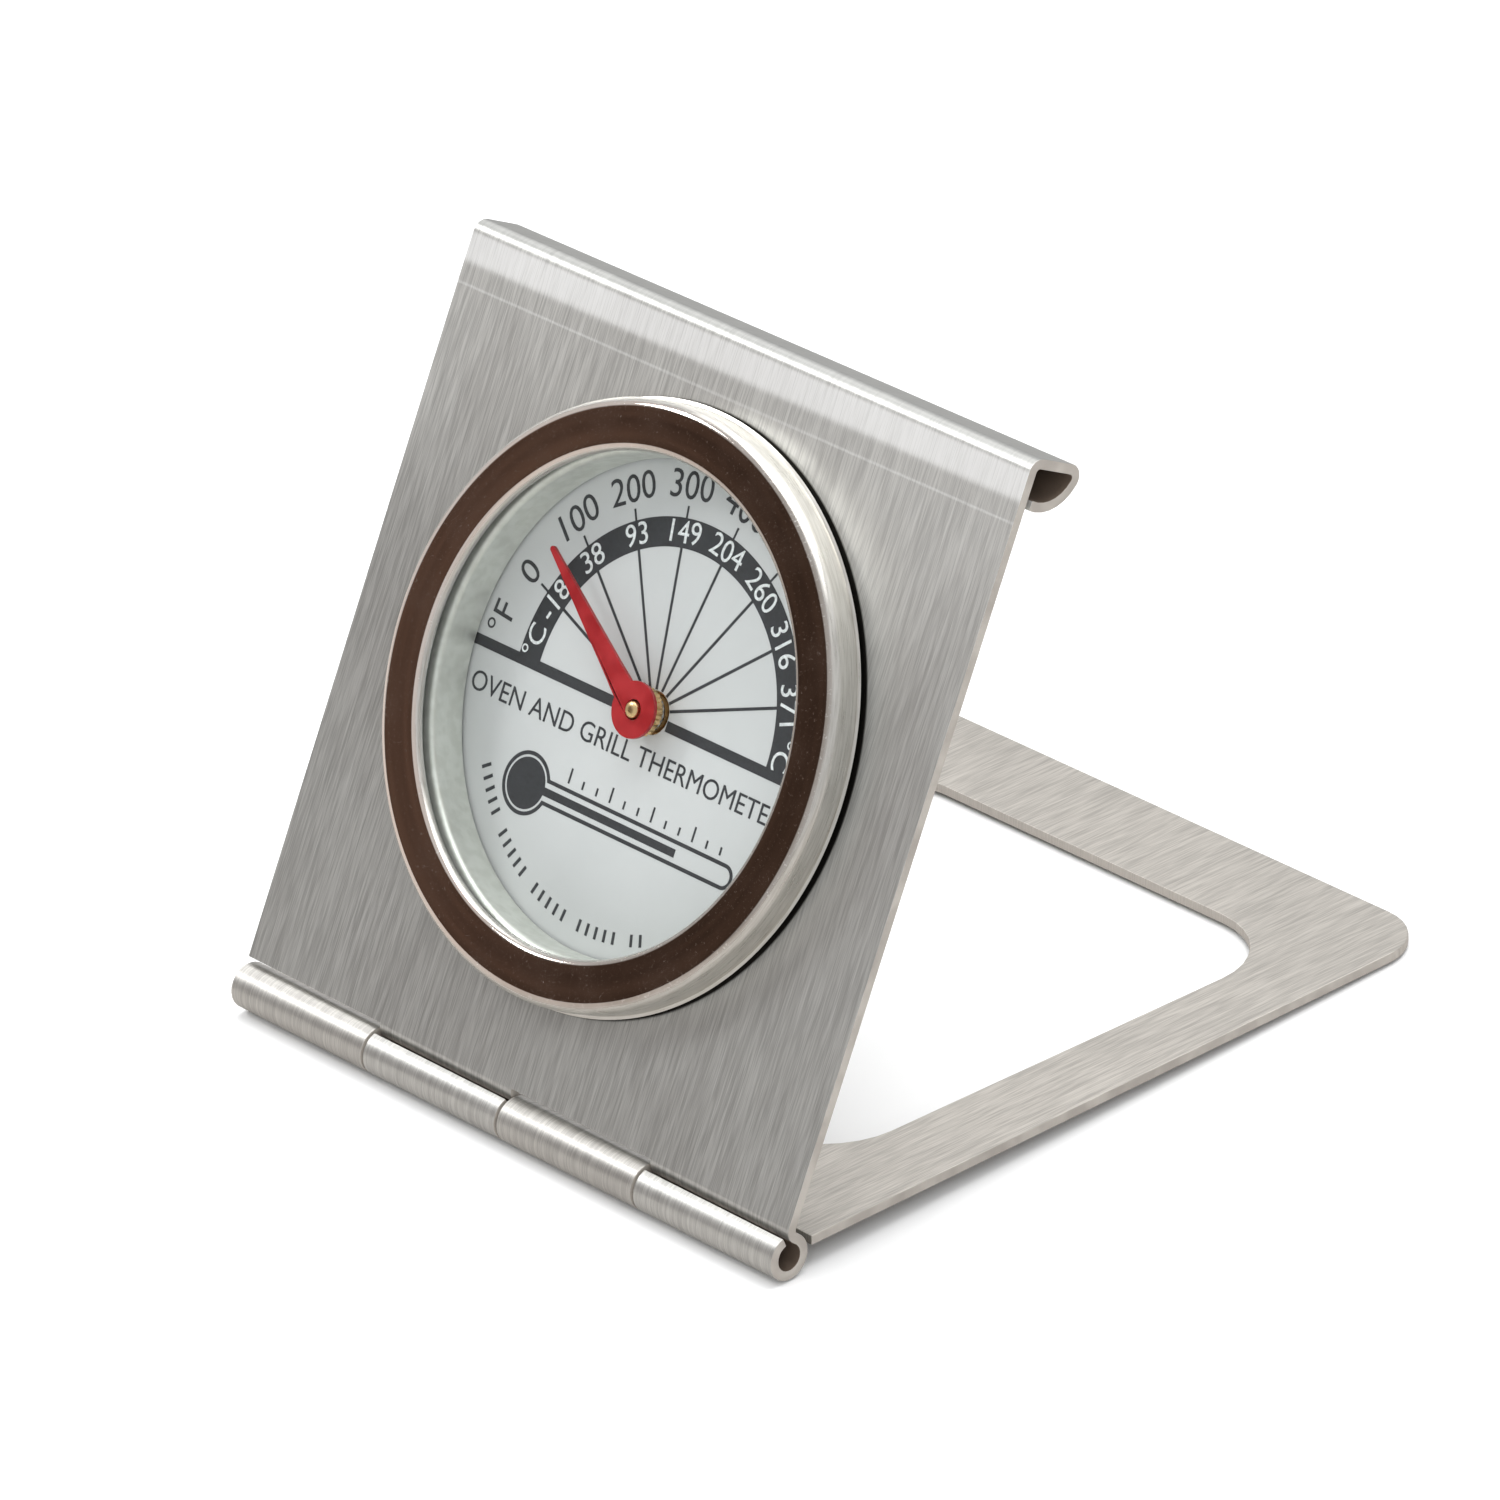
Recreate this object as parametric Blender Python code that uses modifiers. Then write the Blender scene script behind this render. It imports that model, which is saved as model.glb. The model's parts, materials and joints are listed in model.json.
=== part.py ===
"""Folding oven thermometer: a bimetal dial instrument in a front plate with a hanging lip,
hinged to a window frame.

Units are metres and +Z is up. Lengths below are written in millimetres times MM.
The object stands on its hinge barrel and on the far edge of its base frame, with the dial facing -Y.
"""

import math

import bmesh
import bpy
from mathutils import Vector

MM = 0.001

# Sheet and hinge
SHEET = 1.0 * MM
WIDTH = 76.0 * MM
BARREL_R = 2.35 * MM
BARREL_MID_R = BARREL_R - SHEET / 2
PIN_R = 1.15 * MM
PIN_RECESS = 2.0 * MM
KNUCKLES = 4
KNUCKLE_GAP = 0.35 * MM
JOGGLE_R = 1.0 * MM
ROLL_END_DEG = 42.0
LEAF_OPENING_DEG = 64.3

# Front plate, measured from the hinge axis
PLATE_FACE = 1.3 * MM
PLATE_BOTTOM = 2.75 * MM
PLATE_FOLD = 76.2 * MM
LIP_FOLD_R = 0.9 * MM
LIP_REAR_R = 0.9 * MM
LIP_CURL_R = 4.2 * MM
LIP_CURL_UP = 1.05 * MM
LIP_CURL_BACK = 2.4 * MM
LIP_FREE_DEG = -191.0
DIAL_CENTRE = 40.7 * MM
PLATE_HOLE_R = 27.6 * MM

# Base frame, measured from the hinge axis
BASE_TOP = 0.85 * MM
BASE_FRONT = 3.2 * MM
BASE_LENGTH = 86.6 * MM
BASE_HALF_FRONT = 37.6 * MM
BASE_HALF_BACK = 36.7 * MM
BASE_CORNER_R = 6.2 * MM
WINDOW_FRONT = 13.3 * MM
WINDOW_BACK = 74.8 * MM
WINDOW_HALF_FRONT = 28.1 * MM
WINDOW_HALF_BACK = 28.9 * MM
WINDOW_CORNER_R = 9.3 * MM

# Instrument: radii, and heights above the front plate's front face
GAP = 0.3 * MM
SMALL_GAP = 0.2 * MM
SKIN = 0.6 * MM
BEZEL_R = 29.0 * MM
BEZEL_TOP = 4.2 * MM
BEZEL_EDGE_R = 1.1 * MM
BEZEL_BOTTOM = 0.35 * MM
OPENING_R = 23.9 * MM
LENS_R = 27.7 * MM
LENS_TOP = 3.2 * MM
LENS_BOTTOM = 2.2 * MM
GASKET_TOP = BEZEL_TOP - SKIN - 0.1 * MM
GASKET_BOTTOM = LENS_TOP + 0.08 * MM
GASKET_INNER_R = 25.0 * MM
SPACER_TOP = LENS_BOTTOM - 0.1 * MM
SPACER_INNER_R = 23.8 * MM
SPACER_FLANGE_R = 26.2 * MM
SPACER_SKIN = 0.5 * MM
DIAL_TOP = -2.34 * MM
DIAL_SKIN = 0.5 * MM
DIAL_R = 25.85 * MM
DIAL_HOLE_R = 2.1 * MM
CASE_R = 27.2 * MM
CASE_FLANGE_R = 28.1 * MM
CASE_FLANGE_TOP = 1.85 * MM
CASE_BACK_R = 25.2 * MM
CASE_BACK = -8.4 * MM
CASE_HOLE_R = 2.3 * MM
RING_INNER_R = CASE_R + GAP
RING_OUTER_R = 30.9 * MM
RING_COLLAR = 1.0 * MM

# Movement: turned parts on the spindle, heights as above. It sits off the case's middle, along the hinge
MOVEMENT_SHIFT = 0.5 * MM
SPINDLE_R = 0.8 * MM
BORE_R = SPINDLE_R + SMALL_GAP
SPINDLE_TOP = 0.85 * MM
SPINDLE_BOTTOM = -8.1 * MM
POINTER_TOP = 0.4 * MM
POINTER_SKIN = 0.4 * MM
POINTER_HUB_R = 2.74 * MM
POINTER_LENGTH = 19.5 * MM
POINTER_ROOT_HALF = 1.25 * MM
POINTER_TIP_HALF = 0.3 * MM
POINTER_AT_DEG = 146.0
HUB_R = 2.4 * MM
HUB_TOP = POINTER_TOP - POINTER_SKIN - 0.1 * MM
HUB_BOTTOM = -1.55 * MM
HUB_KNURLS = 24
HUB_KNURL_DEPTH = 0.18 * MM
WASHER_R = 1.9 * MM
WASHER_SKIN = 0.25 * MM
BUSH_TOP = -2.1 * MM
BUSH_R = 1.85 * MM
BUSH_FLANGE_R = 3.1 * MM
BUSH_FLANGE_SKIN = 0.5 * MM
CLIP_R = 1.7 * MM
CLIP_SKIN = 0.3 * MM
COIL_TOP = -4.5 * MM
COIL_WIDTH = 2.1 * MM
COIL_SKIN = 0.36 * MM
COIL_INNER_R = 2.9 * MM
COIL_PITCH = 1.1 * MM
COIL_TURNS = 6
COIL_STEPS = 18
COLLAR_R = 2.4 * MM
BRACKET_R = 10.2 * MM
BRACKET_WIDTH = 4.0 * MM
BRACKET_FOOT = 6.0 * MM
BRACKET_SKIN = 0.5 * MM
RIVET_R = 0.9 * MM
RIVET_HEAD_R = 1.6 * MM
RIVET_HEAD = 0.5 * MM
REAR_BUSH_R = 2.0 * MM
REAR_FLANGE_R = 3.3 * MM
REAR_FLANGE_SKIN = 0.5 * MM
REAR_BORE_BOTTOM = -8.4 * MM

ROUND_STEPS = 48
SMALL_STEPS = 24
MERGE = 0.00001
CUT_MARGIN = 2.0 * MM
SMOOTH_LIMIT_DEG = 35.0


def clear_scene():
    for leftover in list(bpy.data.objects):
        bpy.data.objects.remove(leftover, do_unlink=True)


def new_collection(name):
    made = bpy.data.collections.new(name)
    bpy.context.scene.collection.children.link(made)
    return made


def new_material(name, colour, metallic, roughness, alpha=1.0):
    made = bpy.data.materials.new(name)
    made.use_nodes = True
    shader = made.node_tree.nodes["Principled BSDF"]
    shader.inputs["Base Color"].default_value = (*colour, 1.0)
    shader.inputs["Metallic"].default_value = metallic
    shader.inputs["Roughness"].default_value = roughness
    shader.inputs["Alpha"].default_value = alpha
    return made


def arc(centre, radius, start_deg, end_deg, steps):
    """Points on an arc in a plane, both ends included; angles are from the first axis towards the second."""
    points = []
    for step in range(steps + 1):
        angle = math.radians(start_deg + (end_deg - start_deg) * step / steps)
        points.append((centre[0] + radius * math.cos(angle), centre[1] + radius * math.sin(angle)))
    return points


def rounded(corners, steps=8):
    """Points of a closed outline whose corners, given as (x, y, radius), are rounded with tangent arcs."""
    points = []
    count = len(corners)
    for index, (x, y, radius) in enumerate(corners):
        here = Vector((x, y))
        if radius == 0:
            points.append((x, y))
            continue
        before = (Vector(corners[index - 1][:2]) - here).normalized()
        after = (Vector(corners[(index + 1) % count][:2]) - here).normalized()
        half = before.angle(after) / 2
        middle = here + (before + after).normalized() * (radius / math.sin(half))
        first = here + before * (radius / math.tan(half)) - middle
        last = here + after * (radius / math.tan(half)) - middle
        turn = first.angle_signed(last)
        for step in range(steps + 1):
            angle = math.atan2(first.y, first.x) - turn * step / steps
            points.append((middle.x + radius * math.cos(angle), middle.y + radius * math.sin(angle)))
    return points


def add_object(name, mesh, collection, parent, material=None):
    made = bpy.data.objects.new(name, mesh)
    collection.objects.link(made)
    made.parent = parent
    if material:
        mesh.materials.append(material)
    return made


def smooth(obj):
    obj.data.shade_smooth()
    obj.data.set_sharp_from_angle(angle=math.radians(SMOOTH_LIMIT_DEG))


def turned(name, profile, collection, parent, material, closed=True, steps=ROUND_STEPS):
    """A turned part: the profile of (radius, height) points runs down its outer side, and turns
    about local Z."""
    mesh = bpy.data.meshes.new(name)
    count = len(profile)
    edges = [(index, index + 1) for index in range(count - 1)]
    if closed:
        edges.append((count - 1, 0))
    mesh.from_pydata([(radius, 0.0, height) for radius, height in profile], edges, [])
    made = add_object(name, mesh, collection, parent, material)
    screw = made.modifiers.new("turn", "SCREW")
    screw.axis = "Z"
    screw.angle = math.tau
    screw.steps = steps
    screw.render_steps = steps
    screw.use_merge_vertices = True
    screw.merge_threshold = MERGE
    screw.use_smooth_shade = True
    return made


def turned_shell(path, thickness):
    """The closed profile of a turned sheet whose middle line is path, running down its outer side."""
    outer = []
    inner = []
    last = len(path) - 1
    for index, point in enumerate(path):
        here = Vector(point)
        arriving = (here - Vector(path[max(index - 1, 0)])) if index else (Vector(path[1]) - here)
        leaving = (Vector(path[min(index + 1, last)]) - here) if index < last else arriving
        arriving.normalize()
        leaving.normalize()
        along = (arriving + leaving).normalized()
        side = Vector((-along.y, along.x)) * (thickness / 2 / max(along.dot(arriving), 0.5))
        outer.append(tuple(here + side))
        inner.append(tuple(here - side))
    return outer + inner[::-1]


def outline_solid(name, outline, low, high, collection, parent, material=None, holes=()):
    """A flat outline in local XY, extruded from height low to high and made a mesh."""
    curve = bpy.data.curves.new(name, "CURVE")
    curve.dimensions = "2D"
    curve.fill_mode = "BOTH"
    curve.extrude = (high - low) / 2
    for loop in (outline, *holes):
        spline = curve.splines.new("POLY")
        spline.points.add(len(loop) - 1)
        for point, (x, y) in zip(spline.points, loop):
            point.co = (x, y, 0.0, 1.0)
        spline.use_cyclic_u = True
    guide = bpy.data.objects.new(name + "_curve", curve)
    collection.objects.link(guide)
    graph = bpy.context.evaluated_depsgraph_get()
    mesh = bpy.data.meshes.new_from_object(guide.evaluated_get(graph))
    bpy.data.objects.remove(guide)
    shape = bmesh.new()
    shape.from_mesh(mesh)
    bmesh.ops.remove_doubles(shape, verts=shape.verts, dist=MERGE)
    bmesh.ops.translate(shape, verts=shape.verts, vec=(0.0, 0.0, (low + high) / 2))
    bmesh.ops.recalc_face_normals(shape, faces=shape.faces)
    shape.to_mesh(mesh)
    shape.free()
    mesh.materials.clear()
    return add_object(name, mesh, collection, parent, material)


def cylinder_solid(name, radius, low, high, collection, parent, material=None, steps=ROUND_STEPS):
    """A plain cylinder along local Z."""
    mesh = bpy.data.meshes.new(name)
    shape = bmesh.new()
    bmesh.ops.create_cone(
        shape, cap_ends=True, segments=steps, radius1=radius, radius2=radius, depth=high - low
    )
    bmesh.ops.translate(shape, verts=shape.verts, vec=(0.0, 0.0, (low + high) / 2))
    shape.to_mesh(mesh)
    shape.free()
    return add_object(name, mesh, collection, parent, material)


def helper(obj):
    obj.hide_render = True
    obj.display_type = "WIRE"
    return obj


def cut(obj, cutter, operation="DIFFERENCE"):
    boolean = obj.modifiers.new(cutter.name, "BOOLEAN")
    boolean.operation = operation
    boolean.solver = "EXACT"
    boolean.object = helper(cutter)


def bent_sheet(name, leaf, knuckle_path, panel_path, knuckles, collection, parent, material):
    """A sheet of metal bent along X lines, with some of its edge rolled into hinge knuckles.

    panel_path is the middle line of the full-width panel in (Y, Z), from the hinge outwards.
    knuckle_path goes on from the panel's first point into the barrel, and only the X ranges in
    knuckles follow it. leaf is the panel's half width.
    """
    columns = [-leaf, leaf]
    for first, last in knuckles:
        columns += [first, last]
    columns = sorted(set(columns))
    rows = [(point, True) for point in reversed(panel_path)] + [(point, False) for point in knuckle_path]
    shape = bmesh.new()
    grid = []
    for (y, z), _ in rows:
        grid.append([shape.verts.new((x, y, z)) for x in columns])
    for row in range(len(rows) - 1):
        for column in range(len(columns) - 1):
            middle = (columns[column] + columns[column + 1]) / 2
            in_knuckle = any(first < middle < last for first, last in knuckles)
            if rows[row + 1][1] or in_knuckle:
                corners = (
                    grid[row][column],
                    grid[row][column + 1],
                    grid[row + 1][column + 1],
                    grid[row + 1][column],
                )
                shape.faces.new(corners)
    loose = [vertex for vertex in shape.verts if not vertex.link_faces]
    bmesh.ops.delete(shape, geom=loose, context="VERTS")
    mesh = bpy.data.meshes.new(name)
    shape.to_mesh(mesh)
    shape.free()
    made = add_object(name, mesh, collection, parent, material)
    solidify = made.modifiers.new("sheet", "SOLIDIFY")
    solidify.thickness = SHEET
    solidify.offset = 0.0
    solidify.use_even_offset = True
    return made


def knuckle_line(offset, steps=22):
    """Middle line of a knuckle in (along the leaf, across it): it leaves the leaf's middle plane at offset,
    joggles to the far side of the axis and rolls round it, and stops short of the leaf."""
    joggle_across = offset - JOGGLE_R
    joggle_along = math.sqrt((JOGGLE_R + BARREL_MID_R) ** 2 - joggle_across**2)
    tangent = math.degrees(math.atan2(joggle_across, joggle_along))
    joggle = arc((joggle_along, joggle_across), JOGGLE_R, 90.0, 180.0 + tangent, 5)
    roll = arc((0.0, 0.0), BARREL_MID_R, tangent, ROLL_END_DEG - 360.0, steps)
    return joggle + roll[1:]


def knuckle_ranges(own):
    """X ranges of the knuckles whose numbers are in own, with the running gap between neighbours."""
    pitch = WIDTH / KNUCKLES
    ranges = []
    for number in own:
        first = -WIDTH / 2 + pitch * number + (KNUCKLE_GAP / 2 if number else 0.0)
        last = -WIDTH / 2 + pitch * (number + 1)
        last -= KNUCKLE_GAP / 2 if number < KNUCKLES - 1 else 0.0
        ranges.append((first, last))
    return ranges


def lip_line():
    """Middle line of the plate above its bottom edge, in (up, outward): the fold, the flat top, and the lip
    that turns down behind it and curls back towards the plate. The two rear arcs meet at a tangent."""
    middle = PLATE_FACE - SHEET / 2
    fold = arc((PLATE_FOLD, middle - LIP_FOLD_R), LIP_FOLD_R, 90.0, 0.0, 4)
    curl_centre = (PLATE_FOLD + LIP_CURL_UP, PLATE_FACE - LIP_CURL_BACK)
    rear_up = PLATE_FOLD + LIP_FOLD_R - LIP_REAR_R
    apart = LIP_CURL_R - LIP_REAR_R
    rise = rear_up - curl_centre[0]
    run = math.sqrt(apart**2 - rise**2)
    tangent = math.degrees(math.atan2(-run, rise))
    rear = arc((rear_up, curl_centre[1] - run), LIP_REAR_R, 0.0, tangent, 6)
    curl = arc(curl_centre, LIP_CURL_R, tangent, LIP_FREE_DEG, 7)
    return fold + rear + curl[1:]


def make_front_plate(parts, cutters, frame, steel):
    middle = PLATE_FACE - SHEET / 2
    panel = [(PLATE_BOTTOM, middle), *lip_line()]
    knuckle = knuckle_line(middle)
    plate = bent_sheet(
        "front_plate",
        WIDTH / 2,
        [point for point in knuckle if point[0] < PLATE_BOTTOM - MERGE],
        panel,
        knuckle_ranges((1, 3)),
        parts,
        frame,
        steel,
    )
    hole = cylinder_solid("plate_hole_cutter", PLATE_HOLE_R, -CUT_MARGIN, CUT_MARGIN, cutters, frame)
    hole.location = (0.0, DIAL_CENTRE, PLATE_FACE)
    cut(plate, hole)
    return plate


def make_base_frame(parts, cutters, frame, steel):
    middle = BASE_TOP - SHEET / 2
    knuckle = knuckle_line(middle)
    base = bent_sheet(
        "base_frame",
        WIDTH / 2,
        [point for point in knuckle if point[0] < BASE_FRONT - MERGE],
        [(BASE_FRONT, middle), (BASE_LENGTH, middle)],
        knuckle_ranges((0, 2)),
        parts,
        frame,
        steel,
    )
    front = -BARREL_R - CUT_MARGIN
    wide = WIDTH / 2 + CUT_MARGIN
    outline = rounded(
        [
            (-wide, front, 0.0),
            (wide, front, 0.0),
            (wide, BASE_FRONT - GAP, 0.0),
            (BASE_HALF_FRONT, BASE_FRONT - GAP, 0.0),
            (BASE_HALF_BACK, BASE_LENGTH, BASE_CORNER_R),
            (-BASE_HALF_BACK, BASE_LENGTH, BASE_CORNER_R),
            (-BASE_HALF_FRONT, BASE_FRONT - GAP, 0.0),
            (-wide, BASE_FRONT - GAP, 0.0),
        ]
    )
    high = BARREL_R + CUT_MARGIN
    trim = outline_solid("base_outline_cutter", outline, -high, high, cutters, frame)
    cut(base, trim, "INTERSECT")
    window_outline = rounded(
        [
            (-WINDOW_HALF_FRONT, WINDOW_FRONT, WINDOW_CORNER_R),
            (WINDOW_HALF_FRONT, WINDOW_FRONT, WINDOW_CORNER_R),
            (WINDOW_HALF_BACK, WINDOW_BACK, WINDOW_CORNER_R),
            (-WINDOW_HALF_BACK, WINDOW_BACK, WINDOW_CORNER_R),
        ]
    )
    window = outline_solid("window_cutter", window_outline, -high, high, cutters, frame)
    cut(base, window)
    return base


def make_hinge_pin(parts, frame, steel):
    half = WIDTH / 2 - PIN_RECESS
    edge = 0.3 * MM
    profile = [(0.0, half), (PIN_R - edge, half), (PIN_R, half - edge)]
    profile += [(PIN_R, edge - half), (PIN_R - edge, -half), (0.0, -half)]
    pin = turned("hinge_pin", profile, parts, frame, steel, closed=False, steps=SMALL_STEPS)
    pin.rotation_euler = (0.0, math.radians(90.0), 0.0)
    return pin


def make_case(parts, cutters, instrument, steel):
    flange = CASE_FLANGE_TOP - SKIN / 2
    wall = CASE_R - SKIN / 2
    back_wall = CASE_BACK_R - SKIN / 2
    bottom = CASE_BACK + SKIN / 2
    shoulder = DIAL_TOP - DIAL_SKIN - GAP - SKIN / 2
    bend = 0.8 * MM
    corner = 1.6 * MM
    path = [(CASE_FLANGE_R, flange), (wall + bend, flange)]
    path += arc((wall + bend, flange - bend), bend, 90.0, 180.0, 2)[1:]
    path += [(wall, shoulder)]
    path += [(back_wall, shoulder)]
    path += arc((back_wall - corner, bottom + corner), corner, 0.0, -90.0, 3)
    path += [(CASE_HOLE_R / 2, bottom)]
    case = turned("case_cup", turned_shell(path, SKIN), parts, instrument, steel)
    holes = (
        ("bush_hole_cutter", CASE_HOLE_R, 0.0, SMALL_STEPS),
        ("rivet_hole_cutter", RIVET_R + SMALL_GAP, rivet_place()[0], 16),
    )
    low = CASE_BACK - CUT_MARGIN
    high = CASE_BACK + CUT_MARGIN
    for name, radius, along, steps in holes:
        hole = cylinder_solid(name, radius, low, high, cutters, instrument, steps=steps)
        hole.location = (MOVEMENT_SHIFT + along, 0.0, 0.0)
        cut(case, hole)
    return case


def make_bezel(parts, instrument, steel):
    top = BEZEL_TOP - SKIN / 2
    wall = BEZEL_R - SKIN / 2
    edge = BEZEL_EDGE_R - SKIN / 2
    hem = BEZEL_BOTTOM + SKIN / 2
    lip = 0.4 * MM
    hem_reach = 1.1 * MM
    path = [(OPENING_R + SKIN / 2, top - lip)]
    path += arc((OPENING_R + SKIN / 2 + lip, top - lip), lip, 180.0, 90.0, 2)[1:]
    path += arc((wall - edge, top - edge), edge, 90.0, 0.0, 4)
    path += [(wall, hem), (wall - hem_reach, hem)]
    return turned("bezel_ring", turned_shell(path, SKIN), parts, instrument, steel)


def make_lens(parts, instrument, glass):
    edge = 0.2 * MM
    profile = [(0.0, LENS_TOP), (LENS_R - edge, LENS_TOP), (LENS_R, LENS_TOP - edge)]
    profile += [(LENS_R, LENS_BOTTOM + edge), (LENS_R - edge, LENS_BOTTOM), (0.0, LENS_BOTTOM)]
    return turned("lens", profile, parts, instrument, glass, closed=False)


def rectangle_ring(inner, outer, low, high):
    return [(inner, high), (outer, high), (outer, low), (inner, low)]


def make_spacer(parts, instrument, aluminium):
    wall = SPACER_INNER_R + SPACER_SKIN / 2
    top = SPACER_TOP - SPACER_SKIN / 2
    foot = DIAL_TOP + GAP
    path = [(SPACER_FLANGE_R, top), (wall, top), (wall, foot)]
    return turned("spacer_ring", turned_shell(path, SPACER_SKIN), parts, instrument, aluminium)


def make_dial(parts, movement, enamel):
    profile = rectangle_ring(DIAL_HOLE_R, DIAL_R, DIAL_TOP - DIAL_SKIN, DIAL_TOP)
    return turned("dial_plate", profile, parts, movement, enamel)


def make_retaining_ring(parts, instrument, steel):
    low = -SHEET - GAP - SKIN
    high = -SHEET - GAP
    profile = [(RING_INNER_R, high), (RING_OUTER_R, high), (RING_OUTER_R, low)]
    profile += [(RING_INNER_R + SKIN, low), (RING_INNER_R + SKIN, low - RING_COLLAR)]
    profile += [(RING_INNER_R, low - RING_COLLAR)]
    return turned("retaining_ring", profile, parts, instrument, steel)


def make_front_bush(parts, movement, brass):
    flange_top = DIAL_TOP - DIAL_SKIN - SMALL_GAP
    flange_low = flange_top - BUSH_FLANGE_SKIN
    profile = [(BORE_R, BUSH_TOP), (BUSH_R, BUSH_TOP), (BUSH_R, flange_top)]
    profile += [(BUSH_FLANGE_R, flange_top), (BUSH_FLANGE_R, flange_low), (BORE_R, flange_low)]
    return turned("dial_bush", profile, parts, movement, brass, steps=SMALL_STEPS)


def make_rear_bush(parts, movement, brass):
    inside_low = CASE_BACK + SKIN + SMALL_GAP
    inside_top = inside_low + REAR_FLANGE_SKIN
    outside_top = CASE_BACK - SMALL_GAP
    outside_low = outside_top - REAR_FLANGE_SKIN
    profile = [(BORE_R, inside_top), (REAR_FLANGE_R, inside_top), (REAR_FLANGE_R, inside_low)]
    profile += [(REAR_BUSH_R, inside_low), (REAR_BUSH_R, outside_top), (REAR_FLANGE_R, outside_top)]
    profile += [(REAR_FLANGE_R - 0.3 * MM, outside_low), (0.0, outside_low)]
    profile = [(0.0, REAR_BORE_BOTTOM), (BORE_R, REAR_BORE_BOTTOM)] + profile
    return turned("rear_bush", profile, parts, movement, brass, closed=False, steps=SMALL_STEPS)


def make_spindle(parts, pointer_axis, brass):
    dome = 0.25 * MM
    profile = [(0.0, SPINDLE_TOP), (SPINDLE_R * 0.6, SPINDLE_TOP - dome * 0.3)]
    profile += [(SPINDLE_R, SPINDLE_TOP - dome), (SPINDLE_R, SPINDLE_BOTTOM), (0.0, SPINDLE_BOTTOM)]
    return turned("spindle", profile, parts, pointer_axis, brass, closed=False, steps=SMALL_STEPS)


def make_pointer(parts, pointer_axis, red):
    root_angle = math.degrees(math.asin(POINTER_ROOT_HALF / POINTER_HUB_R))
    outline = arc((0.0, 0.0), POINTER_HUB_R, root_angle, 360.0 - root_angle, 22)
    tip = arc((POINTER_LENGTH - POINTER_TIP_HALF, 0.0), POINTER_TIP_HALF, -90.0, 90.0, 4)
    bore = arc((0.0, 0.0), BORE_R, 360.0, 360.0 / SMALL_STEPS, SMALL_STEPS - 1)
    low = POINTER_TOP - POINTER_SKIN
    return outline_solid("pointer", outline + tip, low, POINTER_TOP, parts, pointer_axis, red, [bore])


def make_pointer_hub(parts, pointer_axis, brass):
    outline = []
    for tooth in range(HUB_KNURLS):
        for radius, share in ((HUB_R, 0.15), (HUB_R, 0.55), (HUB_R - HUB_KNURL_DEPTH, 0.85)):
            angle = math.tau * (tooth + share) / HUB_KNURLS
            outline.append((radius * math.cos(angle), radius * math.sin(angle)))
    bore = arc((0.0, 0.0), BORE_R, 360.0, 360.0 / SMALL_STEPS, SMALL_STEPS - 1)
    return outline_solid("pointer_hub", outline, HUB_BOTTOM, HUB_TOP, parts, pointer_axis, brass, [bore])


def make_coil(parts, movement, bimetal):
    """The bimetal strip: a spiral band whose inner end meets the collar and whose outer end
    meets the bracket."""
    outer = []
    inner = []
    for step in range(COIL_TURNS * COIL_STEPS + 1):
        turn = step / COIL_STEPS
        radius = COIL_INNER_R + COIL_PITCH * turn
        angle = math.tau * turn
        along = Vector((math.cos(angle), math.sin(angle)))
        outer.append(tuple(along * (radius + COIL_SKIN / 2)))
        inner.append(tuple(along * (radius - COIL_SKIN / 2)))
    outline = outer + inner[::-1]
    return outline_solid("bimetal_coil", outline, COIL_TOP - COIL_WIDTH, COIL_TOP, parts, movement, bimetal)


def rivet_place():
    return (BRACKET_R + BRACKET_FOOT * 0.6, 0.0, 0.0)


def make_coil_bracket(parts, cutters, movement, steel):
    """An angle bracket: the foot lies on the case's bottom and the upright holds the coil's outer end."""
    foot_low = CASE_BACK + SKIN + SMALL_GAP
    profile = [
        (BRACKET_R, foot_low),
        (BRACKET_R + BRACKET_FOOT, foot_low),
        (BRACKET_R + BRACKET_FOOT, foot_low + BRACKET_SKIN),
        (BRACKET_R + BRACKET_SKIN, foot_low + BRACKET_SKIN),
        (BRACKET_R + BRACKET_SKIN, COIL_TOP),
        (BRACKET_R, COIL_TOP),
    ]
    half = BRACKET_WIDTH / 2
    bracket = outline_solid("coil_bracket", profile, -half, half, parts, movement, steel)
    bracket.rotation_euler = (math.radians(90.0), 0.0, 0.0)
    hole = cylinder_solid(
        "bracket_hole_cutter",
        RIVET_R + SMALL_GAP,
        foot_low - CUT_MARGIN,
        foot_low + CUT_MARGIN,
        cutters,
        movement,
        steps=16,
    )
    hole.location = rivet_place()
    cut(bracket, hole)
    return bracket


def make_bracket_rivet(parts, movement, steel):
    head_low = CASE_BACK + SKIN + SMALL_GAP + BRACKET_SKIN + SMALL_GAP
    head_top = head_low + RIVET_HEAD
    tail_top = CASE_BACK - SMALL_GAP
    tail_low = tail_top - RIVET_HEAD
    profile = [(0.0, head_top), (RIVET_HEAD_R * 0.7, head_top), (RIVET_HEAD_R, head_low)]
    profile += [(RIVET_R, head_low), (RIVET_R, tail_top), (RIVET_HEAD_R, tail_top)]
    profile += [(RIVET_HEAD_R * 0.7, tail_low), (0.0, tail_low)]
    rivet = turned("bracket_rivet", profile, parts, movement, steel, closed=False, steps=16)
    rivet.location = rivet_place()
    return rivet


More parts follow.
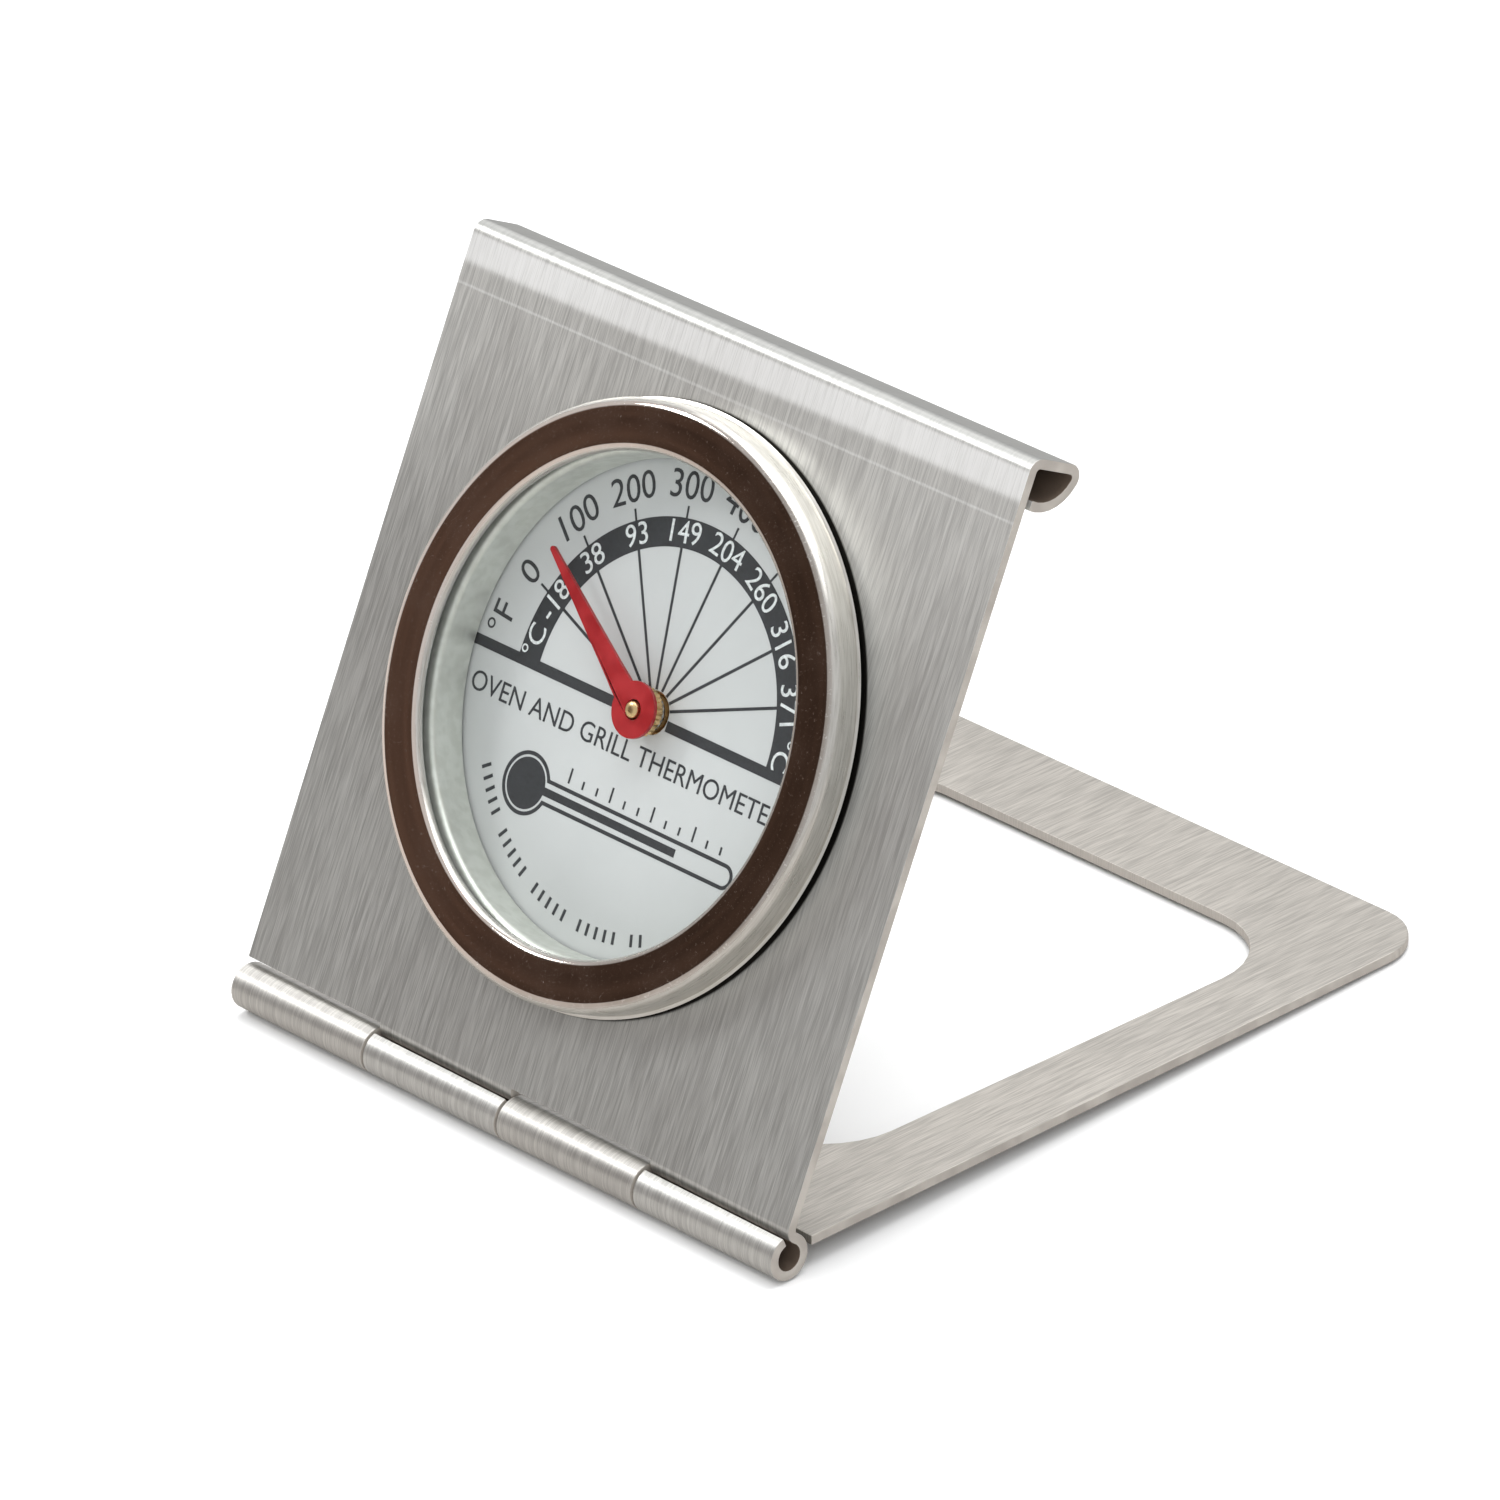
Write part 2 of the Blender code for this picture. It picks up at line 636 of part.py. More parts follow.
def make_small_rings(parts, instrument, pointer_axis, brass, steel, fibre):
    """The washer under the hub, the clip and collar on the spindle, and the gasket between lens and bezel."""
    washer_top = HUB_BOTTOM - 0.1 * MM
    washer = rectangle_ring(BORE_R, WASHER_R, washer_top - WASHER_SKIN, washer_top)
    turned("thrust_washer", washer, parts, pointer_axis, steel, steps=SMALL_STEPS)
    clip_top = DIAL_TOP - DIAL_SKIN - SMALL_GAP - BUSH_FLANGE_SKIN - 0.15 * MM
    clip = rectangle_ring(BORE_R, CLIP_R, clip_top - CLIP_SKIN, clip_top)
    turned("spindle_clip", clip, parts, pointer_axis, steel, steps=SMALL_STEPS)
    collar = rectangle_ring(BORE_R, COLLAR_R, COIL_TOP - COIL_WIDTH + GAP, COIL_TOP)
    turned("coil_collar", collar, parts, pointer_axis, brass, steps=SMALL_STEPS)
    gasket = rectangle_ring(GASKET_INNER_R, LENS_R, GASKET_BOTTOM, GASKET_TOP)
    turned("lens_gasket", gasket, parts, instrument, fibre)


def lean_angle():
    """How far the base frame tips down to its far edge when it stands on the barrel and on that edge."""
    underside = SHEET - BASE_TOP
    reach = math.hypot(BASE_LENGTH, underside)
    return math.asin(BARREL_R / reach) - math.atan2(underside, BASE_LENGTH)


def new_empty(name, collection, parent=None):
    made = bpy.data.objects.new(name, None)
    collection.objects.link(made)
    made.parent = parent
    return made


def main():
    clear_scene()
    parts = new_collection("oven_thermometer")
    cutters = new_collection("cutters")
    steel = new_material("brushed_steel", (0.62, 0.60, 0.57), 1.0, 0.38)
    polished = new_material("polished_steel", (0.66, 0.64, 0.61), 1.0, 0.15)
    aluminium = new_material("satin_aluminium", (0.72, 0.74, 0.70), 1.0, 0.45)
    glass = new_material("clear_glass", (0.95, 0.98, 0.97), 0.0, 0.03, 0.25)
    enamel = new_material("printed_dial", (0.80, 0.84, 0.85), 0.0, 0.5)
    red = new_material("red_lacquer", (0.42, 0.01, 0.015), 0.0, 0.4)
    brass = new_material("brass", (0.72, 0.50, 0.22), 1.0, 0.3)
    bimetal = new_material("bimetal", (0.55, 0.50, 0.44), 1.0, 0.4)
    fibre = new_material("gasket_fibre", (0.10, 0.10, 0.10), 0.0, 0.8)

    lean = lean_angle()
    length = BASE_LENGTH * math.cos(lean) + BASE_TOP * math.sin(lean)
    stand = new_empty("stand_frame", parts)
    stand.location = (0.0, (BARREL_R - length) / 2, BARREL_R)
    stand.rotation_euler = (-lean, 0.0, 0.0)
    plate_frame = new_empty("plate_frame", parts, stand)
    plate_frame.rotation_euler = (math.radians(LEAF_OPENING_DEG), 0.0, 0.0)
    instrument = new_empty("instrument_frame", parts, plate_frame)
    instrument.location = (0.0, DIAL_CENTRE, PLATE_FACE)
    movement = new_empty("movement_frame", parts, instrument)
    movement.location = (MOVEMENT_SHIFT, 0.0, 0.0)
    pointer_axis = new_empty("pointer_axis", parts, movement)
    pointer_axis.rotation_euler = (0.0, 0.0, math.radians(POINTER_AT_DEG))

    base = make_base_frame(parts, cutters, stand, steel)
    make_hinge_pin(parts, stand, steel)
    plate = make_front_plate(parts, cutters, plate_frame, steel)
    make_case(parts, cutters, instrument, steel)
    make_bezel(parts, instrument, polished)
    make_lens(parts, instrument, glass)
    make_spacer(parts, instrument, aluminium)
    make_dial(parts, movement, enamel)
    make_retaining_ring(parts, instrument, steel)
    make_front_bush(parts, movement, brass)
    make_rear_bush(parts, movement, brass)
    make_coil(parts, movement, bimetal)
    make_coil_bracket(parts, cutters, movement, steel)
    make_bracket_rivet(parts, movement, steel)
    make_small_rings(parts, instrument, pointer_axis, brass, steel, fibre)
    make_spindle(parts, pointer_axis, brass)
    make_pointer_hub(parts, pointer_axis, brass)
    make_pointer(parts, pointer_axis, red)
    for sheet in (base, plate):
        smooth(sheet)


main()
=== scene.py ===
"""Looks of the folding oven thermometer: fine instrument pieces, printed dial, brushed metal, camera
and light."""

import json
import math

import bmesh
import bpy
from mathutils import Matrix, Vector


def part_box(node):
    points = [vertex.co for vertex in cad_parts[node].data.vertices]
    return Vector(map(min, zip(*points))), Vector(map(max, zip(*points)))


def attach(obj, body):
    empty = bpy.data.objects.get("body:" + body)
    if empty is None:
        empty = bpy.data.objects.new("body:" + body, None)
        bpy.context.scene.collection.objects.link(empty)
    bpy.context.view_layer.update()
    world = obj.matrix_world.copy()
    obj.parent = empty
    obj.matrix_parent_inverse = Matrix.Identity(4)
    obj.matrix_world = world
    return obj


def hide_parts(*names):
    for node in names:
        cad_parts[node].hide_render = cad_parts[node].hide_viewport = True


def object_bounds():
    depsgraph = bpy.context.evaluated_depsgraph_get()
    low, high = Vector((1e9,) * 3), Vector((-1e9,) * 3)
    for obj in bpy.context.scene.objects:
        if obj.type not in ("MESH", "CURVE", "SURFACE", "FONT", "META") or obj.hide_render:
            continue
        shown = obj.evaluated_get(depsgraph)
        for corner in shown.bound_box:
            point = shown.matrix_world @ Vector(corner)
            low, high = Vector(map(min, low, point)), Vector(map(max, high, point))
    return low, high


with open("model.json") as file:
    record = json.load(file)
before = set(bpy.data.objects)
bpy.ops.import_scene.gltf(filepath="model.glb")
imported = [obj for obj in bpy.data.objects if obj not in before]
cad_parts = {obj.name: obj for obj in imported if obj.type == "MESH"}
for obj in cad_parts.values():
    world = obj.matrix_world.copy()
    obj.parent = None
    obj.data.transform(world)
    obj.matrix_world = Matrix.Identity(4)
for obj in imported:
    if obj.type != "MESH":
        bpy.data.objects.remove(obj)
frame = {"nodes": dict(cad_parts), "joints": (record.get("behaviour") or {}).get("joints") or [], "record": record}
CAD_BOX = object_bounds()

MM = 0.001
JOINTS = {joint["name"]: joint for joint in frame["joints"]}
MOUNTS = {mount["name"]: mount for mount in frame["record"]["mounts"]}

# Directions and origins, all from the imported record
HINGE = Vector(JOINTS["stand_hinge"]["pos_m"])
SPIN_CENTRE = Vector(JOINTS["pointer_spin"]["pos_m"])
BEZEL_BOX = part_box("bezel_ring")
DIAL_CENTRE = Vector(((BEZEL_BOX[0][0] + BEZEL_BOX[1][0]) / 2, SPIN_CENTRE.y, SPIN_CENTRE.z))
ACROSS = Vector((1.0, 0.0, 0.0))
FACING = Vector(JOINTS["pointer_spin"]["axis"]).normalized()
UP_PLATE = FACING.cross(ACROSS)
FRAME_UP = -Vector(MOUNTS["base_underside"]["axis"]).normalized()
FRAME_BACK = FRAME_UP.cross(ACROSS)


# Camera, about the hinge in the base frame's directions; its lens and sensor are in millimetres
CAMERA_SENSOR = 36.0
CAMERA_LENS = 283.43
CAMERA_SHIFT = (-0.0038, 0.00953)
CAMERA_PLACE = (0.73635, -0.64042, 0.53387)
CAMERA_RIGHT = (0.68218, 0.73087, -0.02143)
CAMERA_UP = (-0.31897, 0.32383, 0.89073)


def matrix_of(origin, x_axis, y_axis, z_axis):
    rotation = Matrix((x_axis, y_axis, z_axis)).transposed()
    return Matrix.Translation(origin) @ rotation.to_4x4()


INSTRUMENT = matrix_of(DIAL_CENTRE, ACROSS, UP_PLATE, FACING)
MOVEMENT = matrix_of(SPIN_CENTRE, ACROSS, UP_PLATE, FACING)
STAND = matrix_of(HINGE, ACROSS, FRAME_BACK, FRAME_UP)


def local_range(node, origin, axis):
    """Lowest and highest place of a CAD node's points along axis, from origin."""
    places = [(vertex.co - origin).dot(axis) for vertex in frame["nodes"][node].data.vertices]
    return min(places), max(places)


def radius_range(node, centre):
    """Smallest and largest distance of a CAD node's points from the axis through centre that faces
    the viewer."""
    spans = []
    for vertex in frame["nodes"][node].data.vertices:
        away = vertex.co - centre
        spans.append((away - FACING * away.dot(FACING)).length)
    return min(spans), max(spans)


BEZEL_LOW, BEZEL_TOP = local_range("bezel_ring", DIAL_CENTRE, FACING)
BEZEL_R = radius_range("bezel_ring", DIAL_CENTRE)[1]
SPACER_LOW, SPACER_TOP = local_range("spacer_ring", DIAL_CENTRE, FACING)
SPACER_INNER_R, SPACER_OUTER_R = radius_range("spacer_ring", DIAL_CENTRE)
LENS_LOW, LENS_TOP = local_range("lens", DIAL_CENTRE, FACING)
LENS_R = radius_range("lens", DIAL_CENTRE)[1]
DIAL_LOW, DIAL_TOP = local_range("dial_plate", DIAL_CENTRE, FACING)
DIAL_HOLE_R, DIAL_R = radius_range("dial_plate", SPIN_CENTRE)
POINTER_LOW, POINTER_TOP = local_range("pointer", DIAL_CENTRE, FACING)
POINTER_LENGTH = radius_range("pointer", SPIN_CENTRE)[1]
HUB_LOW, HUB_TOP = local_range("pointer_hub", DIAL_CENTRE, FACING)
BORE_R, HUB_R = radius_range("pointer_hub", SPIN_CENTRE)
SPINDLE_LOW, SPINDLE_TOP = local_range("spindle", DIAL_CENTRE, FACING)
SPINDLE_R = radius_range("spindle", SPIN_CENTRE)[1]

# Bezel
SKIN = 0.6 * MM
BEZEL_OPENING_R = 23.9 * MM
BEZEL_EDGE_R = 1.15 * MM
BEZEL_LIP_R = 0.45 * MM
BEZEL_HEM = 1.1 * MM

# Dial printing, in the dial's own plane and from the spindle's axis
PRINT_THICK = 0.02 * MM
PRINT_LIFT = 0.004 * MM
BAND_INNER_R = 15.65 * MM
BAND_OUTER_R = 18.5 * MM
TICK_OUTER_R = 19.65 * MM
TICK_WIDTH = 0.24 * MM
FAN_INNER_R = 2.2 * MM
FAN_WIDTH = 0.3 * MM
BAR_TOP = -0.1 * MM
BAR_BOTTOM = -1.16 * MM
ZERO_DEG = 160.0
STEP_DEG = -20.0
FAHRENHEIT = ("0", "100", "200", "300", "400", "500", "600", "700")
CELSIUS = ("-18", "38", "93", "149", "204", "260", "316", "371")
FAHRENHEIT_R = 21.45 * MM
CELSIUS_R = 17.05 * MM
NUMERAL_SIZE = 3.9 * MM
SMALL_NUMERAL_SIZE = 3.1 * MM
TITLE = "OVEN AND GRILL THERMOMETER"
TITLE_SIZE = 2.8 * MM
TITLE_LEFT = -23.5 * MM
TITLE_BASE = -5.35 * MM
POINTER_AT_DEG = 146.0

# Front plate, measured from the hinge axis
PLATE_FOLD = 76.2 * MM
LIP_AXIS_UP = 77.25 * MM
LIP_AXIS_OUT = -1.1 * MM

FINE_STEPS = 192


# ---------------------------------------------------------------- shader building

class Shader:
    """A material's node tree, with short calls for the nodes used here."""

    def __init__(self, name):
        self.material = bpy.data.materials.new(name)
        self.material.use_nodes = True
        self.tree = self.material.node_tree
        self.bsdf = self.tree.nodes["Principled BSDF"]
        self.output = self.tree.nodes["Material Output"]
        coordinates = self.node("ShaderNodeTexCoord")
        self.place = coordinates.outputs["Object"]
        self.normal = coordinates.outputs["Normal"]

    def node(self, kind, **settings):
        made = self.tree.nodes.new(kind)
        for key, value in settings.items():
            setattr(made, key, value)
        return made

    def link(self, source, target):
        self.tree.links.new(source, target)

    def feed(self, value, target):
        if isinstance(value, bpy.types.NodeSocket):
            self.link(value, target)
        else:
            target.default_value = value

    def maths(self, operation, first, second=0.0, clamp=False):
        made = self.node("ShaderNodeMath", operation=operation, use_clamp=clamp)
        self.feed(first, made.inputs[0])
        self.feed(second, made.inputs[1])
        return made.outputs[0]

    def along(self, origin, axis):
        """Distance of the shaded point from origin along axis, in metres, fixed to the body."""
        away = self.node("ShaderNodeVectorMath", operation="SUBTRACT")
        self.link(self.place, away.inputs[0])
        away.inputs[1].default_value = origin
        dot = self.node("ShaderNodeVectorMath", operation="DOT_PRODUCT")
        self.link(away.outputs["Vector"], dot.inputs[0])
        dot.inputs[1].default_value = axis
        return dot.outputs["Value"]

    def towards(self, axis):
        """How far the surface faces along axis, from -1 to 1."""
        dot = self.node("ShaderNodeVectorMath", operation="DOT_PRODUCT")
        self.link(self.normal, dot.inputs[0])
        dot.inputs[1].default_value = axis
        return dot.outputs["Value"]

    def radius(self, first, second):
        first_square = self.maths("MULTIPLY", first, first)
        second_square = self.maths("MULTIPLY", second, second)
        squares = self.maths("ADD", first_square, second_square)
        return self.maths("SQRT", squares)

    def vector(self, x, y, z):
        made = self.node("ShaderNodeCombineXYZ")
        for value, target in zip((x, y, z), made.inputs):
            self.feed(value, target)
        return made.outputs[0]

    def noise(self, vector, scale=1.0, detail=3.0, roughness=0.5):
        made = self.node("ShaderNodeTexNoise")
        self.link(vector, made.inputs["Vector"])
        made.inputs["Scale"].default_value = scale
        made.inputs["Detail"].default_value = detail
        made.inputs["Roughness"].default_value = roughness
        return made.outputs["Fac"]

    def ramp(self, value, low, high, to_low=0.0, to_high=1.0):
        made = self.node("ShaderNodeMapRange", interpolation_type="SMOOTHSTEP")
        self.feed(value, made.inputs["Value"])
        made.inputs["From Min"].default_value = low
        made.inputs["From Max"].default_value = high
        self.feed(to_low, made.inputs["To Min"])
        self.feed(to_high, made.inputs["To Max"])
        return made.outputs["Result"]

    def mix(self, factor, first, second):
        made = self.node("ShaderNodeMix", data_type="RGBA")
        self.feed(factor, made.inputs[0])
        self.set_colour(made.inputs[6], first)
        self.set_colour(made.inputs[7], second)
        return made.outputs[2]

    def set_colour(self, target, value):
        if isinstance(value, bpy.types.NodeSocket):
            self.link(value, target)
        else:
            target.default_value = (*value, 1.0)

    def bump(self, height, distance, strength=1.0):
        made = self.node("ShaderNodeBump")
        made.inputs["Strength"].default_value = strength
        made.inputs["Distance"].default_value = distance
        self.link(height, made.inputs["Height"])
        self.link(made.outputs["Normal"], self.bsdf.inputs["Normal"])

    def tangent(self, axis):
        made = self.node(
            "ShaderNodeVectorTransform", vector_type="VECTOR", convert_from="OBJECT", convert_to="WORLD"
        )
        made.inputs[0].default_value = axis
        self.link(made.outputs[0], self.bsdf.inputs["Tangent"])

    def surface(self, colour, roughness, metallic=0.0):
        self.set_colour(self.bsdf.inputs["Base Color"], colour)
        self.feed(roughness, self.bsdf.inputs["Roughness"])
        self.feed(metallic, self.bsdf.inputs["Metallic"])
        return self.material


def brushed(name, tint, grain, normal, rough, metallic, cut_from, worn_band_and_painted_light=None, lip_axis=None):
    """Sheet steel brushed along grain, with raw cut edges and dull insides painted dark as shade.

    Edges that face away from normal are raw beyond cut_from along the grain, as are all side edges.
    worn_band_and_painted_light is a (low, high) place along the grain where bending has polished the sheet,
    with a press line below it; it also turns on painted light: a top and a right side painted lighter, painted
    shade on the lip above the band and a painted contact shadow round the bezel. lip_axis is the (along grain,
    along normal) middle of a rolled lip, with painted shade inside."""
    shader = Shader(name)
    run = shader.along(HINGE, grain)
    side = shader.along(HINGE, ACROSS)
    depth = shader.along(HINGE, normal)
    fine = shader.noise(
        shader.vector(
            shader.maths("MULTIPLY", side, 9500.0),
            shader.maths("MULTIPLY", run, 240.0),
            shader.maths("MULTIPLY", depth, 240.0),
        ),
        detail=2.0,
        roughness=0.6,
    )
    streak = shader.noise(
        shader.vector(
            shader.maths("MULTIPLY", side, 2300.0),
            shader.maths("MULTIPLY", run, 110.0),
            shader.maths("MULTIPLY", depth, 110.0),
        ),
        detail=3.0,
        roughness=0.55,
    )
    cloud = shader.noise(shader.place, scale=38.0, detail=3.0)
    shade = shader.maths("ADD", shader.maths("MULTIPLY", fine, 0.62), shader.maths("MULTIPLY", streak, 0.38))
    dark = tuple(channel * 0.80 for channel in tint)
    pale = tuple(min(channel * 1.20, 1.0) for channel in tint)
    if worn_band_and_painted_light:
        # Painted light: the brushed tone grows brighter towards the top of the plate.
        upper = shader.ramp(run, 40.0 * MM, 72.0 * MM)
        dark = shader.mix(upper, dark, tuple(channel * 1.12 for channel in tint))
        pale = shader.mix(upper, pale, tuple(min(channel * 1.62, 0.98) for channel in tint))
    colour = shader.mix(shader.ramp(shade, 0.34, 0.66), dark, pale)
    if worn_band_and_painted_light:
        # Painted sheen: the plate turns lighter towards its right side, more so higher up.
        right = shader.ramp(side, -18.0 * MM, 38.0 * MM, 0.0, 0.17)
        right = shader.maths("MULTIPLY", right, shader.ramp(run, 8.0 * MM, 40.0 * MM, 0.1, 1.0))
        colour = shader.mix(right, colour, (0.95, 0.95, 0.93))
    uneven = shader.ramp(cloud, 0.35, 0.65, -0.02, 0.02)
    roughness = shader.maths("ADD", shader.ramp(streak, 0.3, 0.7, rough - 0.015, rough + 0.02), uneven)
    if worn_band_and_painted_light:
        low, high = worn_band_and_painted_light
        band = shader.maths(
            "MULTIPLY",
            shader.ramp(run, low - 0.7 * MM, low + 0.5 * MM),
            shader.ramp(run, high - 0.3 * MM, high + 0.3 * MM, 1.0, 0.0),
        )
        from_press = shader.maths("ABSOLUTE", shader.maths("SUBTRACT", run, low - 2.2 * MM))
        press = shader.ramp(from_press, 0.05 * MM, 0.22 * MM, 0.45, 0.0)
        front = shader.ramp(shader.towards(normal), 0.5, 0.9)
        band = shader.maths("MULTIPLY", shader.maths("MAXIMUM", band, press), front)
        polish = shader.maths("MULTIPLY", band, shader.ramp(fine, 0.3, 0.65, 0.55, 1.0))
        colour = shader.mix(polish, colour, (0.97, 0.97, 0.96))
        top = shader.ramp(run, high + 0.5 * MM, high + 0.9 * MM)
        shadow = tuple(channel * 0.5 for channel in tint)
        colour = shader.mix(shader.maths("MULTIPLY", top, 0.75), colour, shadow)
        # Painted contact shadow: a dark ring on the plate just outside the bezel's edge.
        painted_contact_shadow = shader.radius(shader.along(DIAL_CENTRE, ACROSS), shader.along(DIAL_CENTRE, grain))
        painted_contact_shadow = shader.maths("MULTIPLY", shader.ramp(painted_contact_shadow, 29.2 * MM, 29.5 * MM, 1.0, 0.0), front)
        colour = shader.mix(painted_contact_shadow, colour, (0.02, 0.018, 0.016))
    flatness = shader.maths("ABSOLUTE", shader.towards(normal))
    rim = shader.maths("MULTIPLY", shader.ramp(flatness, 0.3, 0.55, 1.0, 0.0), shader.ramp(run, *cut_from))
    end_face = shader.ramp(shader.maths("ABSOLUTE", shader.towards(ACROSS)), 0.55, 0.8)
    edge = shader.maths("MAXIMUM", end_face, rim)
    barrel = shader.ramp(shader.radius(run, depth), 2.5 * MM, 3.3 * MM, 0.7, 0.0)
    rolled = shader.mix(shader.ramp(shade, 0.34, 0.66), (0.50, 0.49, 0.47), (0.68, 0.67, 0.64))
    colour = shader.mix(barrel, colour, rolled)
    raw = shader.mix(shader.ramp(fine, 0.3, 0.7), (0.40, 0.365, 0.33), (0.52, 0.485, 0.44))
    colour = shader.mix(edge, colour, raw)
    # Painted shade: dark brown inside the bore of the hinge barrel and, for a rolled lip, inside the lip, blotched
    # by the cloud noise and dulled.
    blotched_painted_light = shader.ramp(shader.radius(run, depth), 1.5 * MM, 1.7 * MM, 1.0, 0.0)
    if lip_axis:
        along = shader.maths("SUBTRACT", run, lip_axis[0])
        out = shader.maths("SUBTRACT", depth, lip_axis[1])
        inward = shader.maths(
            "ADD",
            shader.maths("MULTIPLY", along, shader.towards(grain)),
            shader.maths("MULTIPLY", out, shader.towards(normal)),
        )
        inside = shader.ramp(inward, -0.6 * MM, -0.1 * MM, 1.0, 0.0)
        in_lip = shader.ramp(along, -4.6 * MM, -3.6 * MM)
        behind = shader.ramp(out, 1.6 * MM, 2.0 * MM, 1.0, 0.0)
        near = shader.maths("MULTIPLY", in_lip, behind)
        blotched_painted_light = shader.maths("MAXIMUM", blotched_painted_light, shader.maths("MULTIPLY", inside, near))
    blotched_painted_light = shader.maths("MULTIPLY", blotched_painted_light, shader.maths("SUBTRACT", 1.0, edge))
    colour = shader.mix(blotched_painted_light, colour, shader.mix(cloud, (0.10, 0.072, 0.052), (0.17, 0.125, 0.095)))
    dull = shader.maths("MAXIMUM", edge, blotched_painted_light)
    roughness = shader.ramp(dull, 0.0, 1.0, roughness, 0.62)
    if worn_band_and_painted_light:
        metallic = shader.ramp(band, 0.0, 1.0, metallic, metallic * 0.72)
    shader.surface(colour, roughness, shader.ramp(dull, 0.0, 1.0, metallic, 0.35))
    shader.bsdf.inputs["Anisotropic"].default_value = 0.5
    shader.tangent(ACROSS)
    shader.bump(shade, 0.000004, 0.25)
    return shader.material


def turned_steel():
    """The bezel: a bright rolled face with fine speckle and blotches, whose colour fades from a light warm
    tone on the left to a dark one on the right as a painted reflection, and a satin side with marks running
    round it.
    """
    shader = Shader("bezel_rolled_steel")
    centre = (0.0, 0.0, 0.0)
    height = shader.along(centre, (0.0, 0.0, 1.0))
    right = shader.along(centre, (1.0, 0.0, 0.0))
    up = shader.along(centre, (0.0, 1.0, 0.0))
    radius = shader.radius(right, up)
    face = shader.ramp(height, BEZEL_TOP - 0.35 * MM, BEZEL_TOP - 0.02 * MM)
    speckle = shader.noise(shader.place, scale=2600.0, detail=4.0, roughness=0.75)
    smear = shader.noise(shader.place, scale=160.0, detail=3.0)
    rings = shader.noise(
        shader.vector(
            shader.maths("MULTIPLY", height, 5200.0),
            shader.maths("MULTIPLY", radius, 5200.0),
            shader.maths("MULTIPLY", shader.maths("ARCTAN2", up, right), 9.0),
        ),
        detail=3.0,
    )
    # Painted reflection: the face's warm tone is lighter on the left and darker towards the right.
    painted_reflection_gradient = shader.mix(
        shader.ramp(shader.maths("ADD", right, shader.maths("MULTIPLY", smear, 0.02)), -0.014, 0.03),
        (0.80, 0.68, 0.61),
        (0.40, 0.35, 0.31),
    )
    blotch = shader.noise(shader.place, scale=150.0, detail=3.0, roughness=0.55)
    # Paler random blotches over the painted reflection.
    blotched_painted_light = shader.mix(shader.ramp(blotch, 0.35, 0.68, 0.0, 0.22), painted_reflection_gradient, (0.90, 0.84, 0.80))
    flecks = shader.ramp(speckle, 0.56, 0.70)
    face_colour = shader.mix(shader.maths("MULTIPLY", flecks, 0.6), blotched_painted_light, (0.92, 0.88, 0.84))
    side_colour = shader.mix(shader.ramp(rings, 0.3, 0.7), (0.56, 0.54, 0.50), (0.70, 0.68, 0.64))
    colour = shader.mix(face, side_colour, face_colour)
    blotch_rough = shader.ramp(blotch, 0.4, 0.7, 0.05, 0.12)
    face_rough = shader.maths("ADD", blotch_rough, shader.maths("MULTIPLY", flecks, 0.16))
    side_rough = shader.ramp(rings, 0.3, 0.7, 0.27, 0.38)
    roughness = shader.ramp(face, 0.0, 1.0, side_rough, face_rough)
    shader.surface(colour, roughness, 1.0)
    shader.bump(shader.maths("ADD", speckle, shader.maths("MULTIPLY", rings, 0.6)), 0.000005, 0.25)
    return shader.material


def satin_wall():
    """The reflector wall between lens and dial: pale greenish satin aluminium."""
    shader = Shader("reflector_satin_aluminium")
    height = shader.along((0.0, 0.0, 0.0), (0.0, 0.0, 1.0))
    grain = shader.noise(shader.place, scale=900.0, detail=3.0)
    bands = shader.noise(shader.vector(shader.maths("MULTIPLY", height, 3800.0), 0.0, 0.0), detail=2.0)
    colour = shader.mix(shader.ramp(grain, 0.35, 0.65), (0.70, 0.72, 0.665), (0.78, 0.80, 0.75))
    shader.surface(colour, shader.ramp(bands, 0.3, 0.7, 0.38, 0.5), 0.75)
    shader.bump(grain, 0.00001, 0.3)
    return shader.material


def plain_steel(name, colour, rough=0.35, metallic=1.0, scale=900.0, contrast=0.08):
    """Small turned, stamped or rolled parts, with a fine mottled finish."""
    shader = Shader(name)
    mottle = shader.noise(shader.place, scale=scale, detail=4.0, roughness=0.6)
    stain = shader.noise(shader.place, scale=scale * 0.12, detail=2.0)
    mixed = shader.maths("ADD", shader.maths("MULTIPLY", mottle, 0.6), shader.maths("MULTIPLY", stain, 0.4))
    dark = tuple(channel * (1.0 - contrast) for channel in colour)
    pale = tuple(min(channel * (1.0 + contrast), 1.0) for channel in colour)
    shade = shader.mix(shader.ramp(mixed, 0.35, 0.65), dark, pale)
    shader.surface(shade, shader.ramp(mottle, 0.3, 0.7, rough - 0.07, rough + 0.08), metallic)
    shader.bump(mottle, 0.000004, 0.2)
    return shader.material


def enamel():
    """The dial's pale blue-grey coating, slightly uneven."""
    shader = Shader("dial_pale_enamel")
    cloud = shader.noise(shader.place, scale=60.0, detail=3.0)
    tooth = shader.noise(shader.place, scale=4200.0, detail=2.0)
    colour = shader.mix(shader.ramp(cloud, 0.3, 0.7), (0.555, 0.568, 0.568), (0.59, 0.602, 0.602))
    shader.surface(colour, shader.ramp(tooth, 0.3, 0.7, 0.42, 0.55))
    shader.bump(tooth, 0.000006, 0.3)
    return shader.material


def ink(name, colour):
    shader = Shader(name)
    tooth = shader.noise(shader.place, scale=3000.0, detail=3.0)
    dark = tuple(channel * 0.85 for channel in colour)
    pale = tuple(min(channel * 1.12, 1.0) for channel in colour)
    shade = shader.mix(shader.ramp(tooth, 0.3, 0.7), dark, pale)
    shader.surface(shade, shader.ramp(tooth, 0.3, 0.7, 0.4, 0.55))
    return shader.material


